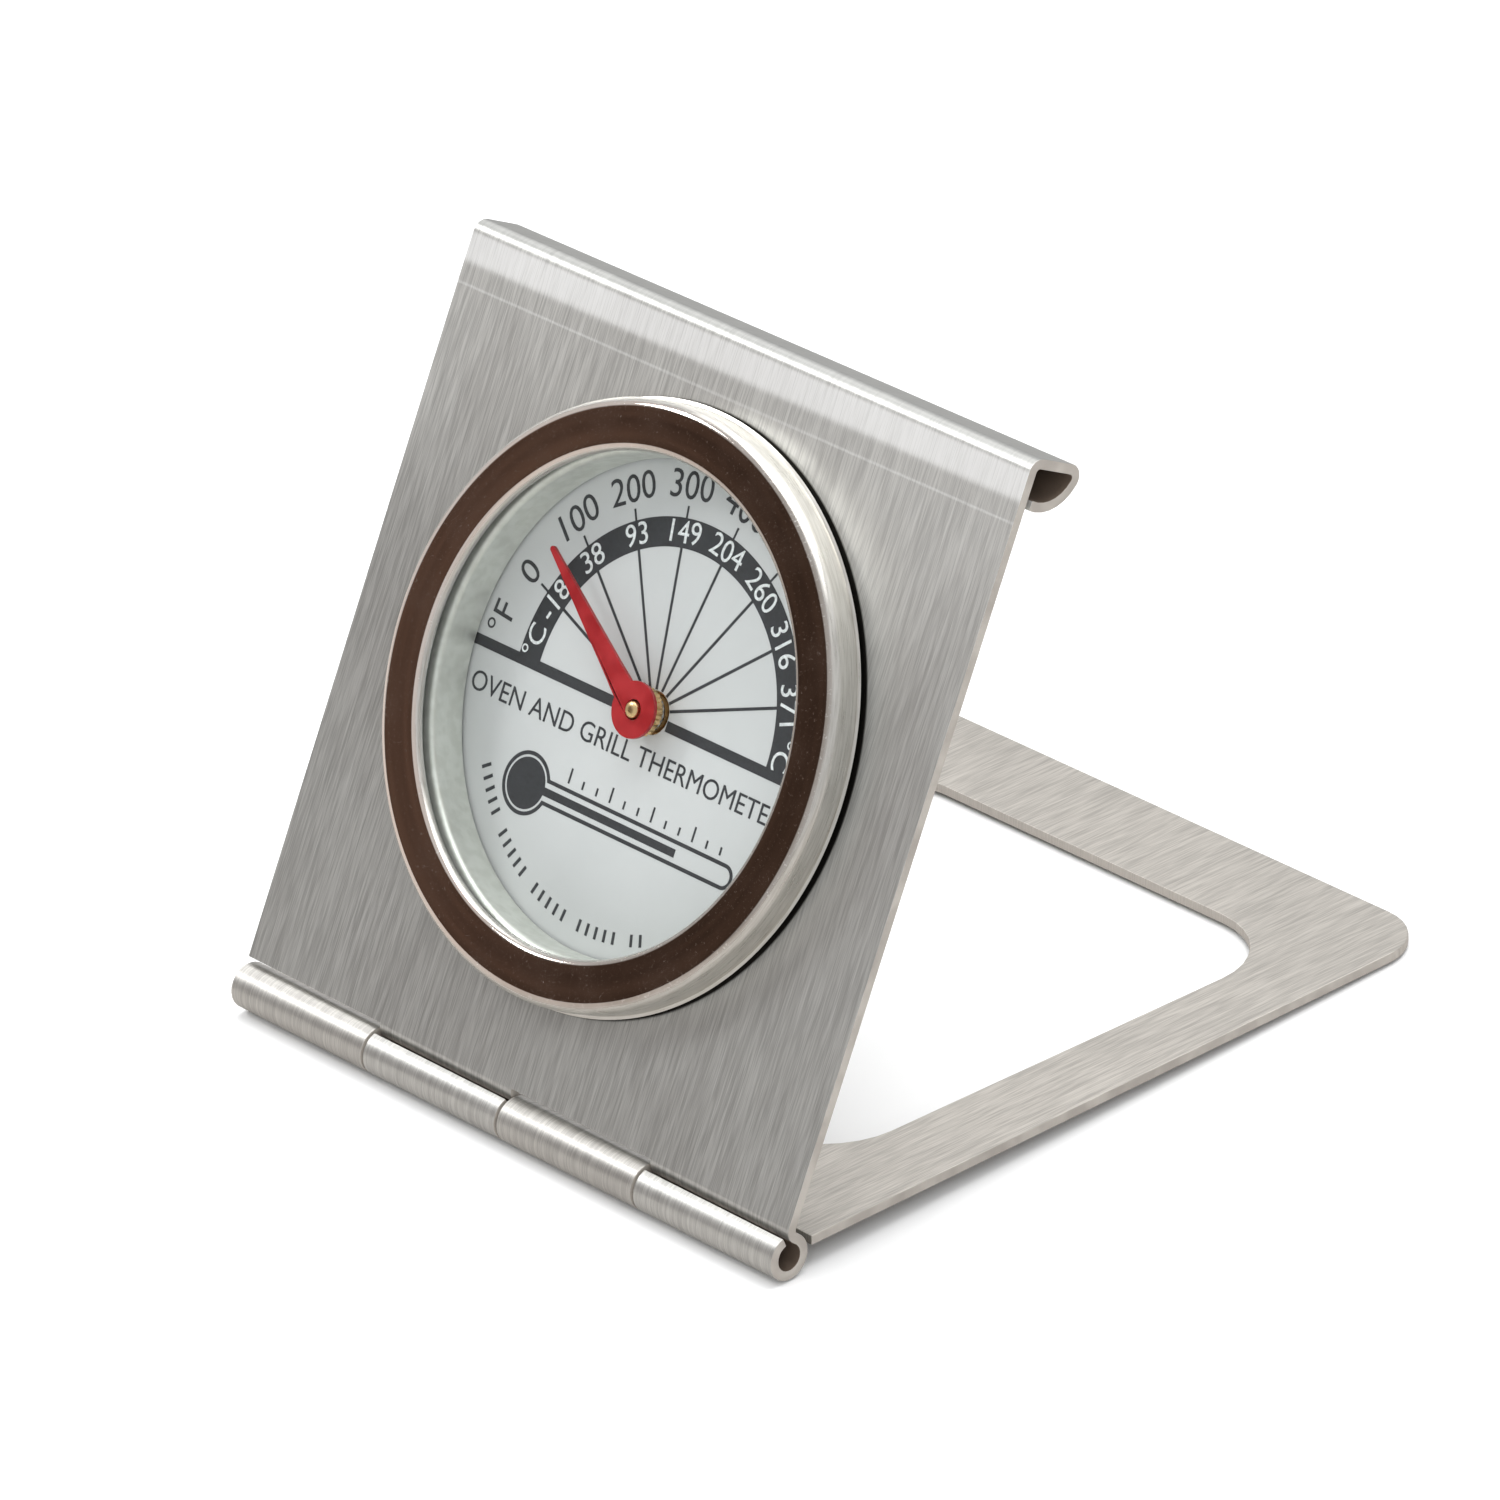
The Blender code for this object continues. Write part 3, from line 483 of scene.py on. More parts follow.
def lacquer():
    """Deep red lacquer of the pointer, unevenly laid, under a thin clear coat."""
    shader = Shader("pointer_red_lacquer")
    flow = shader.noise(shader.place, scale=500.0, detail=3.0)
    colour = shader.mix(shader.ramp(flow, 0.3, 0.7), (0.29, 0.006, 0.010), (0.40, 0.012, 0.017))
    shader.surface(colour, shader.ramp(flow, 0.3, 0.7, 0.3, 0.42))
    shader.bsdf.inputs["Coat Weight"].default_value = 0.25
    shader.bsdf.inputs["Coat Roughness"].default_value = 0.2
    shader.bump(flow, 0.00001, 0.25)
    return shader.material


def clear_glass():
    """The lens: clear glass that lets lamps through, so that the dial is lit and the pointer casts
    its shadow."""
    shader = Shader("lens_clear_glass")
    shader.tree.nodes.remove(shader.bsdf)
    clear = shader.node("ShaderNodeBsdfTransparent")
    clear.inputs["Color"].default_value = (0.985, 0.991, 0.989, 1.0)
    gloss = shader.node("ShaderNodeBsdfGlossy")
    gloss.inputs["Roughness"].default_value = 0.02
    smudge = shader.noise(shader.place, scale=90.0, detail=3.0)
    shader.set_colour(gloss.inputs["Color"], shader.mix(smudge, (0.9, 0.95, 0.93), (1.0, 1.0, 1.0)))
    fresnel = shader.node("ShaderNodeFresnel")
    fresnel.inputs["IOR"].default_value = 1.45
    leaving = shader.node("ShaderNodeNewGeometry").outputs["Backfacing"]
    outside = shader.maths("SUBTRACT", 1.0, leaving)
    blend = shader.node("ShaderNodeMixShader")
    shader.link(shader.maths("MULTIPLY", fresnel.outputs[0], outside), blend.inputs[0])
    shader.link(clear.outputs[0], blend.inputs[1])
    shader.link(gloss.outputs[0], blend.inputs[2])
    shader.link(blend.outputs[0], shader.output.inputs["Surface"])
    return shader.material


# ---------------------------------------------------------------- geometry building

def new_object(name, mesh, material, matrix=None):
    made = bpy.data.objects.new(name, mesh)
    bpy.context.scene.collection.objects.link(made)
    mesh.materials.clear()
    mesh.materials.append(material)
    made.matrix_world = matrix or Matrix.Identity(4)
    return made


def settle(piece, body, replaced=()):
    bpy.context.view_layer.update()
    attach(piece, body)
    if replaced:
        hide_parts(*replaced)
    return piece


def arc(centre, radius, start_deg, end_deg, steps):
    points = []
    for step in range(steps + 1):
        angle = math.radians(start_deg + (end_deg - start_deg) * step / steps)
        points.append((centre[0] + radius * math.cos(angle), centre[1] + radius * math.sin(angle)))
    return points


def lathe(name, profile, material, steps=FINE_STEPS, sharp_deg=32.0, matrix=None):
    """A closed turned mesh about the axis of matrix. The profile of (radius, height) points runs down its
    outer side and closes on itself, or ends on the axis."""
    shape = bmesh.new()
    rings = []
    for radius, height in profile:
        if radius < 1e-9:
            rings.append([shape.verts.new((0.0, 0.0, height))])
            continue
        ring = []
        for step in range(steps):
            angle = math.tau * step / steps
            ring.append(shape.verts.new((radius * math.cos(angle), radius * math.sin(angle), height)))
        rings.append(ring)
    pairs = list(zip(rings, rings[1:]))
    if len(rings[0]) > 1:
        pairs.append((rings[-1], rings[0]))
    for upper, lower in pairs:
        for step in range(steps):
            after = (step + 1) % steps
            corners = [upper[step % len(upper)], lower[step % len(lower)]]
            if len(lower) > 1:
                corners.append(lower[after])
            if len(upper) > 1:
                corners.append(upper[after])
            if len(corners) > 2:
                shape.faces.new(corners)
    bmesh.ops.recalc_face_normals(shape, faces=shape.faces)
    return finish_mesh(name, shape, material, sharp_deg, matrix or INSTRUMENT)


def finish_mesh(name, shape, material, sharp_deg=32.0, matrix=None):
    mesh = bpy.data.meshes.new(name)
    shape.to_mesh(mesh)
    shape.free()
    mesh.shade_smooth()
    mesh.set_sharp_from_angle(angle=math.radians(sharp_deg))
    return new_object(name, mesh, material, matrix or MOVEMENT)


def soften(corners, radius, steps=3):
    """A closed profile with each corner rounded by radius, or by as much as its sides allow."""
    points = []
    count = len(corners)
    for index, corner in enumerate(corners):
        here = Vector(corner)
        before = Vector(corners[index - 1]) - here
        after = Vector(corners[(index + 1) % count]) - here
        if here.x < 1e-9:
            points.append(tuple(here))
            continue
        reach = min(radius, before.length * 0.45, after.length * 0.45)
        start = here + before.normalized() * reach
        end = here + after.normalized() * reach
        for step in range(steps + 1):
            share = step / steps
            points.append(tuple(start.lerp(here, share).lerp(here.lerp(end, share), share)))
    return points


def shell(path, thickness):
    """Closed profile of a turned sheet whose middle line is path."""
    outer = []
    inner = []
    last = len(path) - 1
    for index, point in enumerate(path):
        here = Vector(point)
        arriving = (here - Vector(path[index - 1])).normalized() if index else None
        leaving = (Vector(path[index + 1]) - here).normalized() if index < last else arriving
        arriving = arriving or leaving
        along = (arriving + leaving).normalized()
        side = Vector((-along.y, along.x)) * (thickness / 2 / max(along.dot(arriving), 0.5))
        outer.append(tuple(here + side))
        inner.append(tuple(here - side))
    return outer + inner[::-1]


def prism(shape, outline, low, high):
    """Adds a flat outline, counter-clockwise, as a solid from low to high."""
    lower = [shape.verts.new((x, y, low)) for x, y in outline]
    upper = [shape.verts.new((x, y, high)) for x, y in outline]
    shape.faces.new(lower[::-1])
    shape.faces.new(upper)
    count = len(outline)
    for index in range(count):
        after = (index + 1) % count
        shape.faces.new((lower[index], lower[after], upper[after], upper[index]))


def smooth_cad(node, bevel=0.0):
    """Shades a faceted CAD node smooth across its small angles, and breaks its sharp edges by bevel."""
    weld = node.modifiers.new("weld", "WELD")
    weld.merge_threshold = 1e-6
    if bevel:
        soft = node.modifiers.new("edges", "BEVEL")
        soft.width = bevel
        soft.segments = 2
        soft.limit_method = "ANGLE"
        soft.angle_limit = math.radians(40.0)
        soft.use_clamp_overlap = False
    group = bpy.data.node_groups.get("smooth_by_angle") or smooth_group()
    shade = node.modifiers.new("shade", "NODES")
    shade.node_group = group
    if bevel:
        level = node.modifiers.new("level", "WEIGHTED_NORMAL")
        level.mode = "FACE_AREA"
        level.weight = 100
        level.keep_sharp = True


def smooth_group():
    group = bpy.data.node_groups.new("smooth_by_angle", "GeometryNodeTree")
    group.interface.new_socket("Geometry", in_out="INPUT", socket_type="NodeSocketGeometry")
    group.interface.new_socket("Geometry", in_out="OUTPUT", socket_type="NodeSocketGeometry")
    entry = group.nodes.new("NodeGroupInput")
    leave = group.nodes.new("NodeGroupOutput")
    angle = group.nodes.new("GeometryNodeInputMeshEdgeAngle")
    compare = group.nodes.new("FunctionNodeCompare")
    compare.operation = "GREATER_THAN"
    compare.inputs[1].default_value = math.radians(32.0)
    normals = group.nodes.new("GeometryNodeSetMeshNormal")
    normals.mode = "SHARPNESS"
    normals.inputs["Remove Custom"].default_value = True
    group.links.new(entry.outputs[0], normals.inputs["Mesh"])
    group.links.new(angle.outputs["Unsigned Angle"], compare.inputs[0])
    group.links.new(compare.outputs[0], normals.inputs["Edge Sharpness"])
    group.links.new(normals.outputs["Mesh"], leave.inputs[0])
    return group


# ---------------------------------------------------------------- instrument pieces

def make_bezel(material):
    top = BEZEL_TOP - SKIN / 2
    wall = BEZEL_R - SKIN / 2
    edge = BEZEL_EDGE_R - SKIN / 2
    lip = BEZEL_LIP_R
    path = [(BEZEL_OPENING_R + SKIN / 2, top - lip - 0.15 * MM)]
    path += arc((BEZEL_OPENING_R + SKIN / 2 + lip, top - lip), lip, 180.0, 90.0, 6)
    path += arc((wall - edge, top - edge), edge, 90.0, 0.0, 10)
    path += [(wall, BEZEL_LOW + SKIN / 2 + 0.3 * MM)]
    path += arc((wall - 0.3 * MM, BEZEL_LOW + SKIN / 2 + 0.3 * MM), 0.3 * MM, 0.0, -90.0, 4)
    path += [(wall - BEZEL_HEM, BEZEL_LOW + SKIN / 2)]
    piece = lathe("bezel_rolled_ring", shell(path, SKIN), material, sharp_deg=50.0)
    return settle(piece, "dial_head", ["bezel_ring"])


def make_spacer(material):
    skin = 0.5 * MM
    wall = SPACER_INNER_R + skin / 2
    path = [(SPACER_OUTER_R, SPACER_TOP - skin / 2), (wall + 0.4 * MM, SPACER_TOP - skin / 2)]
    path += arc((wall + 0.4 * MM, SPACER_TOP - skin / 2 - 0.4 * MM), 0.4 * MM, 90.0, 180.0, 4)[1:]
    path += [(wall, SPACER_LOW)]
    piece = lathe("reflector_ring", shell(path, skin), material, sharp_deg=50.0)
    return settle(piece, "dial_head", ["spacer_ring"])


def make_lens(material):
    corners = [(0.0, LENS_TOP), (LENS_R, LENS_TOP), (LENS_R, LENS_LOW), (0.0, LENS_LOW)]
    piece = lathe("lens_disc", soften(corners, 0.25 * MM), material)
    return settle(piece, "dial_head", ["lens"])


def make_dial(material):
    corners = [(DIAL_HOLE_R, DIAL_TOP), (DIAL_R, DIAL_TOP), (DIAL_R, DIAL_LOW), (DIAL_HOLE_R, DIAL_LOW)]
    piece = lathe("dial_disc", soften(corners, 0.08 * MM, 2), material, matrix=MOVEMENT)
    return settle(piece, "dial_head", ["dial_plate"])


def polar(radius, angle_deg):
    angle = math.radians(angle_deg)
    return (radius * math.cos(angle), radius * math.sin(angle))


def oblong(start, end, width):
    """Outline of a straight bar of that width, counter-clockwise."""
    first = Vector(start)
    last = Vector(end)
    along = (last - first).normalized()
    side = Vector((-along.y, along.x)) * (width / 2)
    return [tuple(first - side), tuple(last - side), tuple(last + side), tuple(first + side)]


def sector(inner, outer, start_deg, end_deg, steps=90):
    centre = (0.0, 0.0)
    return arc(centre, outer, start_deg, end_deg, steps) + arc(centre, inner, end_deg, start_deg, steps)


def scale_angles():
    return [ZERO_DEG + STEP_DEG * index for index in range(len(FAHRENHEIT))]


def print_levels(layer=0):
    low = DIAL_TOP + PRINT_LIFT + layer * PRINT_THICK * 1.5
    return low, low + PRINT_THICK


def make_scale_print(material):
    """The dark band, the bar below it on both sides of the dial's hole, the ticks and the fan of lines."""
    shape = bmesh.new()
    low, high = print_levels()
    rim = DIAL_R - 0.5 * MM
    base_deg = math.degrees(math.asin(BAR_TOP / BAND_OUTER_R))
    prism(shape, sector(BAND_INNER_R, BAND_OUTER_R, base_deg - 0.4, 180.4 - base_deg), low, high)
    half = math.sqrt(rim**2 - BAR_BOTTOM**2)
    middle = (BAR_TOP + BAR_BOTTOM) / 2
    clear = DIAL_HOLE_R + 0.1 * MM
    for start, end in ((-half, -clear), (clear, half)):
        bar = oblong((start, middle), (end, middle), BAR_TOP - BAR_BOTTOM)
        prism(shape, bar, low + PRINT_THICK * 0.1, high + PRINT_THICK * 0.1)
    for angle in scale_angles():
        tick = oblong(polar(BAND_OUTER_R - 0.1 * MM, angle), polar(TICK_OUTER_R, angle), TICK_WIDTH)
        prism(shape, tick, low, high + PRINT_THICK * 0.1)
        line = oblong(polar(FAN_INNER_R, angle), polar(BAND_INNER_R + 0.1 * MM, angle), FAN_WIDTH)
        prism(shape, line, low, high + PRINT_THICK * 0.1)
    piece = finish_mesh("dial_scale_print", shape, material)
    return settle(piece, "dial_head")


def add_lettering(shape, text, size, place, turn_deg, low, align="CENTER"):
    """Adds text as flat solids, centred on place and turned, in instrument coordinates."""
    curve = bpy.data.curves.new("lettering", "FONT")
    curve.body = text
    curve.size = size
    curve.align_x = align
    curve.align_y = "CENTER"
    curve.extrude = PRINT_THICK / 2
    curve.resolution_u = 4
    guide = bpy.data.objects.new("lettering", curve)
    bpy.context.scene.collection.objects.link(guide)
    graph = bpy.context.evaluated_depsgraph_get()
    mesh = bpy.data.meshes.new_from_object(guide.evaluated_get(graph))
    turn = Matrix.Rotation(math.radians(turn_deg), 4, "Z")
    mesh.transform(Matrix.Translation((place[0], place[1], low + PRINT_THICK / 2)) @ turn)
    shape.from_mesh(mesh)
    bpy.data.objects.remove(guide)
    bpy.data.curves.remove(curve)
    bpy.data.meshes.remove(mesh)


def make_numerals(dark, pale):
    outer = bmesh.new()
    inner = bmesh.new()
    low = print_levels()[0]
    high = print_levels(1)[0]
    for angle, hot, cool in zip(scale_angles(), FAHRENHEIT, CELSIUS):
        add_lettering(outer, hot, NUMERAL_SIZE, polar(FAHRENHEIT_R, angle), angle - 90.0, low)
        add_lettering(inner, cool, SMALL_NUMERAL_SIZE, polar(CELSIUS_R, angle), angle - 90.0, high)
    add_lettering(outer, "°F", NUMERAL_SIZE, polar(22.0 * MM, 174.5), 84.5, low)
    for angle in (175.0, 5.0):
        add_lettering(inner, "°C", SMALL_NUMERAL_SIZE, polar(CELSIUS_R, angle), angle - 90.0, high)
    settle(finish_mesh("dial_numerals_fahrenheit", outer, dark), "dial_head")
    settle(finish_mesh("dial_numerals_celsius", inner, pale), "dial_head")


def make_title(material):
    shape = bmesh.new()
    low = print_levels()[0]
    place = (TITLE_LEFT, TITLE_BASE + 0.95 * MM)
    add_lettering(shape, TITLE, TITLE_SIZE, place, 0.0, low, align="LEFT")
    return settle(finish_mesh("dial_title_print", shape, material), "dial_head")


def make_pictogram(material):
    """A plain thermometer lying across the lower dial: a bulb, a stem with its bore, and marks above it."""
    shape = bmesh.new()
    low, high = print_levels()
    bulb = (-12.7 * MM, -11.3 * MM)
    stem_end = (14.6 * MM, bulb[1])
    prism(shape, arc(bulb, 2.5 * MM, 0.0, 352.0, 44), low, high)
    outer = 1.25 * MM
    wall = 0.38 * MM
    outline = arc(stem_end, outer, -90.0, 90.0, 16) + arc(bulb, 3.1 * MM, 24.0, 336.0, 48)
    inside = arc(stem_end, outer - wall, -90.0, 90.0, 16) + arc(bulb, 3.1 * MM - wall, 19.0, 341.0, 48)
    ring_between(shape, outline, inside, low, high)
    column = oblong((bulb[0] + 2.0 * MM, bulb[1]), (8.0 * MM, bulb[1]), 0.8 * MM)
    prism(shape, column, low, high + PRINT_THICK * 0.1)
    for mark in range(12):
        x = (-7.5 + 1.9 * mark) * MM
        length = (1.5 if mark % 3 == 0 else 0.8) * MM
        start = (x, bulb[1] + outer + 0.45 * MM)
        prism(shape, oblong(start, (x, start[1] + length), 0.24 * MM), low, high)
    return settle(finish_mesh("dial_pictogram_print", shape, material), "dial_head")


def ring_between(shape, outer, inner, low, high):
    """Adds the flat ring between two outlines that have the same number of points, as a solid."""
    rows = []
    for outline in (outer, inner):
        for height in (low, high):
            rows.append([shape.verts.new((x, y, height)) for x, y in outline])
    outer_low, outer_high, inner_low, inner_high = rows
    count = len(outer)
    for index in range(count):
        after = (index + 1) % count
        shape.faces.new((outer_high[index], outer_high[after], inner_high[after], inner_high[index]))
        shape.faces.new((outer_low[after], outer_low[index], inner_low[index], inner_low[after]))
        shape.faces.new((outer_low[index], outer_low[after], outer_high[after], outer_high[index]))
        shape.faces.new((inner_low[after], inner_low[index], inner_high[index], inner_high[after]))


def make_rim_dashes(material):
    """Plain short dashes round the lower left of the dial, near its rim."""
    shape = bmesh.new()
    low, high = print_levels()
    for index in range(26):
        angle = 212.0 + 3.1 * index
        if index % 6 == 5:
            continue
        prism(shape, oblong(polar(20.9 * MM, angle), polar(22.1 * MM, angle), 0.34 * MM), low, high)
    return settle(finish_mesh("dial_rim_dashes", shape, material), "dial_head")


def make_pointer(material):
    """The pointer: a disc that flows through small fillets into a tapered blade, with its edges rounded."""
    disc_r = 2.74 * MM
    root = 1.2 * MM
    tip = 0.28 * MM
    flare_deg = 27.0
    flare_end = 5.2 * MM
    upper = []
    start = (disc_r * math.cos(math.radians(flare_deg)), disc_r * math.sin(math.radians(flare_deg)))
    for step in range(7):
        share = step / 6
        x = start[0] + (flare_end - start[0]) * share
        straight = root + (tip - root) * (x - disc_r) / (POINTER_LENGTH - disc_r)
        upper.append((x, straight + (start[1] - straight) * (1.0 - share) ** 2.2))
    tip_arc = arc((POINTER_LENGTH - tip, 0.0), tip, 90.0, -90.0, 8)
    disc = arc((0.0, 0.0), disc_r, 360.0 - flare_deg, flare_deg, 60)[1:-1]
    outline = upper + tip_arc + [(x, -y) for x, y in reversed(upper)] + disc
    outline.reverse()
    bore = arc((0.0, 0.0), BORE_R, 0.0, 360.0, 40)[:-1]
    shape = bmesh.new()
    curve_plate(shape, outline, bore, POINTER_LOW, POINTER_TOP)
    spin = MOVEMENT @ Matrix.Rotation(math.radians(POINTER_AT_DEG), 4, "Z")
    piece = finish_mesh("pointer_needle", shape, material, 40.0, spin)
    bevel = piece.modifiers.new("edges", "BEVEL")
    bevel.width = 0.09 * MM
    bevel.segments = 3
    bevel.limit_method = "ANGLE"
    bevel.angle_limit = math.radians(50.0)
    return settle(piece, "pointer_assembly", ["pointer"])


def curve_plate(shape, outline, hole, low, high):
    """Adds a flat plate with a hole, by way of a filled 2D curve."""
    curve = bpy.data.curves.new("plate", "CURVE")
    curve.dimensions = "2D"
    curve.fill_mode = "BOTH"
    curve.extrude = (high - low) / 2
    for loop in (outline, hole):
        spline = curve.splines.new("POLY")
        spline.points.add(len(loop) - 1)
        for point, (x, y) in zip(spline.points, loop):
            point.co = (x, y, 0.0, 1.0)
        spline.use_cyclic_u = True
    guide = bpy.data.objects.new("plate", curve)
    bpy.context.scene.collection.objects.link(guide)
    graph = bpy.context.evaluated_depsgraph_get()
    mesh = bpy.data.meshes.new_from_object(guide.evaluated_get(graph))
    mesh.transform(Matrix.Translation((0.0, 0.0, (low + high) / 2)))
    shape.from_mesh(mesh)
    bmesh.ops.remove_doubles(shape, verts=shape.verts, dist=1e-7)
    bmesh.ops.recalc_face_normals(shape, faces=shape.faces)
    bpy.data.objects.remove(guide)
    bpy.data.curves.remove(curve)
    bpy.data.meshes.remove(mesh)


def make_hub(material):
    """The knurled brass hub under the pointer: straight teeth, chamfered at both ends, and a bore."""
    teeth = 30
    depth = 0.2 * MM
    chamfer = 0.3 * MM
    shares = ((0.0, 1.0), (0.2, 0.35), (0.5, 0.0), (0.8, 0.35))
    shape = bmesh.new()
    levels = (
        (HUB_LOW, HUB_R - depth - chamfer * 0.6, 0.0),
        (HUB_LOW + chamfer, HUB_R, 1.0),
        (HUB_TOP - chamfer, HUB_R, 1.0),
        (HUB_TOP, HUB_R - depth - chamfer * 0.6, 0.0),
    )
    rings = []
    for height, radius, knurl in levels:
        ring = []
        for tooth in range(teeth):
            for share, drop in shares:
                angle = math.tau * (tooth + share) / teeth
                reach = radius - depth * (1.0 - drop) * knurl
                ring.append(shape.verts.new((reach * math.cos(angle), reach * math.sin(angle), height)))
        rings.append(ring)
    count = teeth * len(shares)
    for height in (HUB_TOP, HUB_LOW):
        ring = []
        for step in range(count):
            angle = math.tau * step / count
            ring.append(shape.verts.new((BORE_R * math.cos(angle), BORE_R * math.sin(angle), height)))
        rings.append(ring)
    for lower, upper in zip(rings, rings[1:] + rings[:1]):
        for step in range(count):
            after = (step + 1) % count
            shape.faces.new((lower[step], lower[after], upper[after], upper[step]))
    bmesh.ops.recalc_face_normals(shape, faces=shape.faces)
    piece = finish_mesh("pointer_hub_knurled", shape, material, 30.0)
    return settle(piece, "pointer_assembly", ["pointer_hub"])


def make_spindle(material):
    dome = 0.3 * MM
    profile = [(0.0, SPINDLE_TOP)]
    for step in range(1, 7):
        angle = math.radians(90.0 - 15.0 * step)
        profile.append((SPINDLE_R * math.cos(angle), SPINDLE_TOP - dome + dome * math.sin(angle)))
    profile += [(SPINDLE_R, SPINDLE_LOW + 0.15 * MM), (SPINDLE_R - 0.15 * MM, SPINDLE_LOW)]
    profile += [(0.0, SPINDLE_LOW)]
    piece = lathe("spindle_pin", profile, material, steps=48, matrix=MOVEMENT)
    return settle(piece, "pointer_assembly", ["spindle"])


# ---------------------------------------------------------------- carried-over CAD nodes

def dress_cad():
    base = brushed(
        "base_brushed_steel", (0.48, 0.452, 0.415), FRAME_BACK, FRAME_UP, 0.46, 0.9, (3.2 * MM, 4.2 * MM)
    )
    plate = brushed(
        "plate_brushed_steel",
        (0.56, 0.56, 0.54),
        UP_PLATE,
        FACING,
        0.46,
        0.9,
        (90.0 * MM, 91.0 * MM),
        worn_band_and_painted_light=(73.4 * MM, PLATE_FOLD),
        lip_axis=(LIP_AXIS_UP, LIP_AXIS_OUT),
    )
    satin = plain_steel("case_satin_steel", (0.58, 0.57, 0.54), 0.34)
    small = plain_steel("small_parts_steel", (0.55, 0.54, 0.52), 0.3)
    brass = plain_steel("movement_brass", (0.86, 0.62, 0.32), 0.3)
    bimetal = plain_steel("bimetal_strip", (0.52, 0.46, 0.40), 0.36)
    pin = plain_steel("pin_drawn_wire", (0.40, 0.36, 0.32), 0.42)
    fibre = plain_steel("gasket_fibre", (0.06, 0.06, 0.06), 0.75, metallic=0.0, contrast=0.3)
    looks = {
        "base_frame": (base, 0.1 * MM),
        "front_plate": (plate, 0.1 * MM),
        "hinge_pin": (pin, 0.0),
        "retaining_ring": (satin, 0.08 * MM),
        "case_cup": (satin, 0.08 * MM),
        "lens_gasket": (fibre, 0.0),
        "dial_bush": (brass, 0.0),
        "thrust_washer": (small, 0.0),
        "spindle_clip": (small, 0.0),
        "coil_collar": (brass, 0.0),
        "bimetal_coil": (bimetal, 0.0),
        "coil_bracket": (small, 0.05 * MM),
        "bracket_rivet": (small, 0.0),
        "rear_bush": (brass, 0.08 * MM),
    }
    for name, (material, bevel) in looks.items():
        node = frame["nodes"][name]
        for material_slot in node.material_slots:
            material_slot.material = material
        smooth_cad(node, bevel)
    return brass


# ---------------------------------------------------------------- stage, light and camera

def make_floor():
    shader = Shader("floor_white_paper")
    tooth = shader.noise(shader.place, scale=30.0, detail=2.0)
    glossy = shader.node("ShaderNodeLightPath").outputs["Is Glossy Ray"]
    paper = shader.mix(tooth, (0.93, 0.93, 0.93), (0.95, 0.95, 0.95))
    # Painted reflection: glossy rays see the floor as a dim brown-grey instead of white paper.
    shader.surface(shader.mix(glossy, paper, (0.48, 0.46, 0.44)), 0.9)
    shader.bsdf.inputs["Specular IOR Level"].default_value = 0.1
    mesh = bpy.data.meshes.new("floor")
    shape = bmesh.new()
    bmesh.ops.create_grid(shape, x_segments=1, y_segments=1, size=3.0)
    shape.to_mesh(mesh)
    shape.free()
    floor = new_object("floor", mesh, shader.material)
    floor.location.z = -0.0002


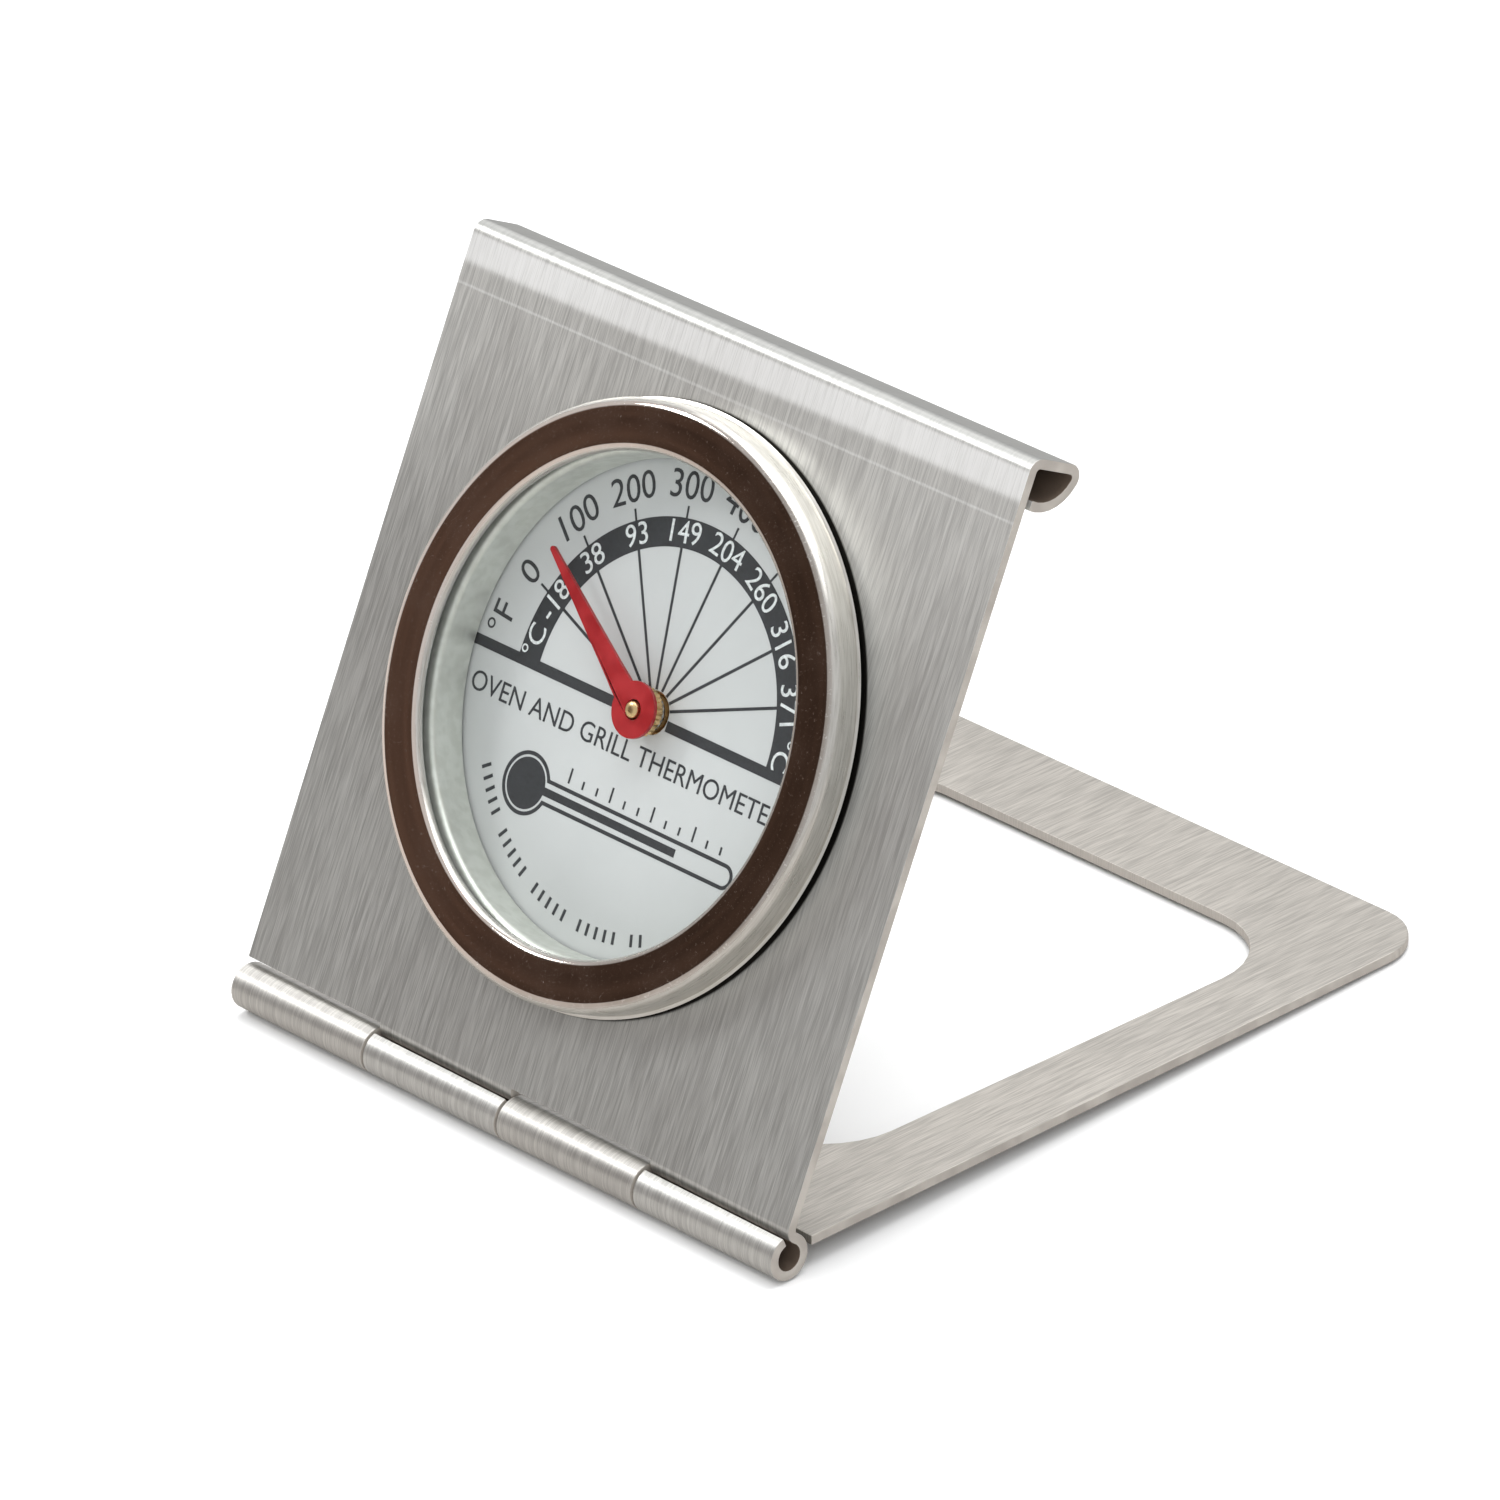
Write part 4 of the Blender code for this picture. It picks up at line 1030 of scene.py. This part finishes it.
def make_world():
    """White surroundings for the camera and for soft light, with a dim brown room where the dial faces."""
    world = bpy.data.worlds.new("studio")
    bpy.context.scene.world = world
    world.use_nodes = True
    tree = world.node_tree
    background = tree.nodes["Background"]
    place = tree.nodes.new("ShaderNodeTexCoord")
    rays = tree.nodes.new("ShaderNodeLightPath")
    dot = tree.nodes.new("ShaderNodeVectorMath")
    dot.operation = "DOT_PRODUCT"
    tree.links.new(place.outputs["Generated"], dot.inputs[0])
    dot.inputs[1].default_value = Vector((-0.60, -0.77, 0.20)).normalized()
    dim = tree.nodes.new("ShaderNodeMapRange")
    dim.interpolation_type = "SMOOTHSTEP"
    dim.inputs["From Min"].default_value = 0.88
    dim.inputs["From Max"].default_value = 0.965
    tree.links.new(dot.outputs["Value"], dim.inputs["Value"])
    shiny = tree.nodes.new("ShaderNodeMath")
    shiny.operation = "MULTIPLY"
    tree.links.new(dim.outputs["Result"], shiny.inputs[0])
    tree.links.new(rays.outputs["Is Glossy Ray"], shiny.inputs[1])
    blend = tree.nodes.new("ShaderNodeMix")
    blend.data_type = "RGBA"
    tree.links.new(shiny.outputs[0], blend.inputs[0])
    blend.inputs[6].default_value = (0.86, 0.87, 0.88, 1.0)
    clutter = tree.nodes.new("ShaderNodeTexNoise")
    clutter.inputs["Scale"].default_value = 22.0
    clutter.inputs["Detail"].default_value = 3.0
    tree.links.new(place.outputs["Generated"], clutter.inputs["Vector"])
    room = tree.nodes.new("ShaderNodeMix")
    room.data_type = "RGBA"
    tree.links.new(clutter.outputs["Fac"], room.inputs[0])
    room.inputs[6].default_value = (0.02, 0.014, 0.011, 1.0)
    room.inputs[7].default_value = (0.20, 0.125, 0.092, 1.0)
    tree.links.new(room.outputs[2], blend.inputs[7])
    tree.links.new(blend.outputs[2], background.inputs["Color"])
    background.inputs["Strength"].default_value = 0.8


def make_softbox(name, place, size, power, in_reflections=True):
    """A rectangular lamp at place that faces the object. Without in_reflections, gloss doesn't mirror it."""
    light = bpy.data.lights.new(name, "AREA")
    light.shape = "RECTANGLE"
    light.size = size[0]
    light.size_y = size[1]
    light.energy = power
    lamp = bpy.data.objects.new(name, light)
    bpy.context.scene.collection.objects.link(lamp)
    lamp.location = place
    lamp.visible_glossy = in_reflections
    target = (CAD_BOX[0] + CAD_BOX[1]) / 2
    lamp.rotation_euler = (target - lamp.location).to_track_quat("-Z", "Y").to_euler()


def make_camera():
    """The viewing point and turn of the camera, given about the hinge in the base frame's directions."""
    camera = bpy.data.cameras.new("camera")
    camera.sensor_width = CAMERA_SENSOR
    camera.lens = CAMERA_LENS
    camera.shift_x, camera.shift_y = CAMERA_SHIFT
    camera.clip_start = 0.05
    camera.clip_end = 20.0
    viewer = bpy.data.objects.new("camera", camera)
    bpy.context.scene.collection.objects.link(viewer)
    right = Vector(CAMERA_RIGHT)
    up = Vector(CAMERA_UP)
    turned = matrix_of(Vector(CAMERA_PLACE), right, up, right.cross(up))
    viewer.matrix_world = STAND @ turned
    bpy.context.scene.camera = viewer


def main():
    make_camera()
    brass = dress_cad()
    make_bezel(turned_steel())
    make_spacer(satin_wall())
    make_lens(clear_glass())
    make_dial(enamel())
    dark = ink("print_charcoal", (0.038, 0.041, 0.046))
    pale = ink("print_pale", (0.72, 0.75, 0.75))
    make_scale_print(dark)
    make_numerals(dark, pale)
    make_title(dark)
    make_pictogram(dark)
    make_rim_dashes(dark)
    make_pointer(lacquer())
    make_hub(brass)
    make_spindle(brass)
    make_floor()
    make_world()
    make_softbox("softbox_top", (-0.1, 0.25, 1.1), (1.15, 1.15), 12.0)
    make_softbox("softbox_front_right", (0.75, -0.75, 0.75), (0.7, 0.7), 4.0, in_reflections=False)
    make_softbox("softbox_left", (-0.62, -0.35, 0.62), (0.2, 0.2), 2.4)
    bpy.context.scene.view_settings.view_transform = "Standard"


main()
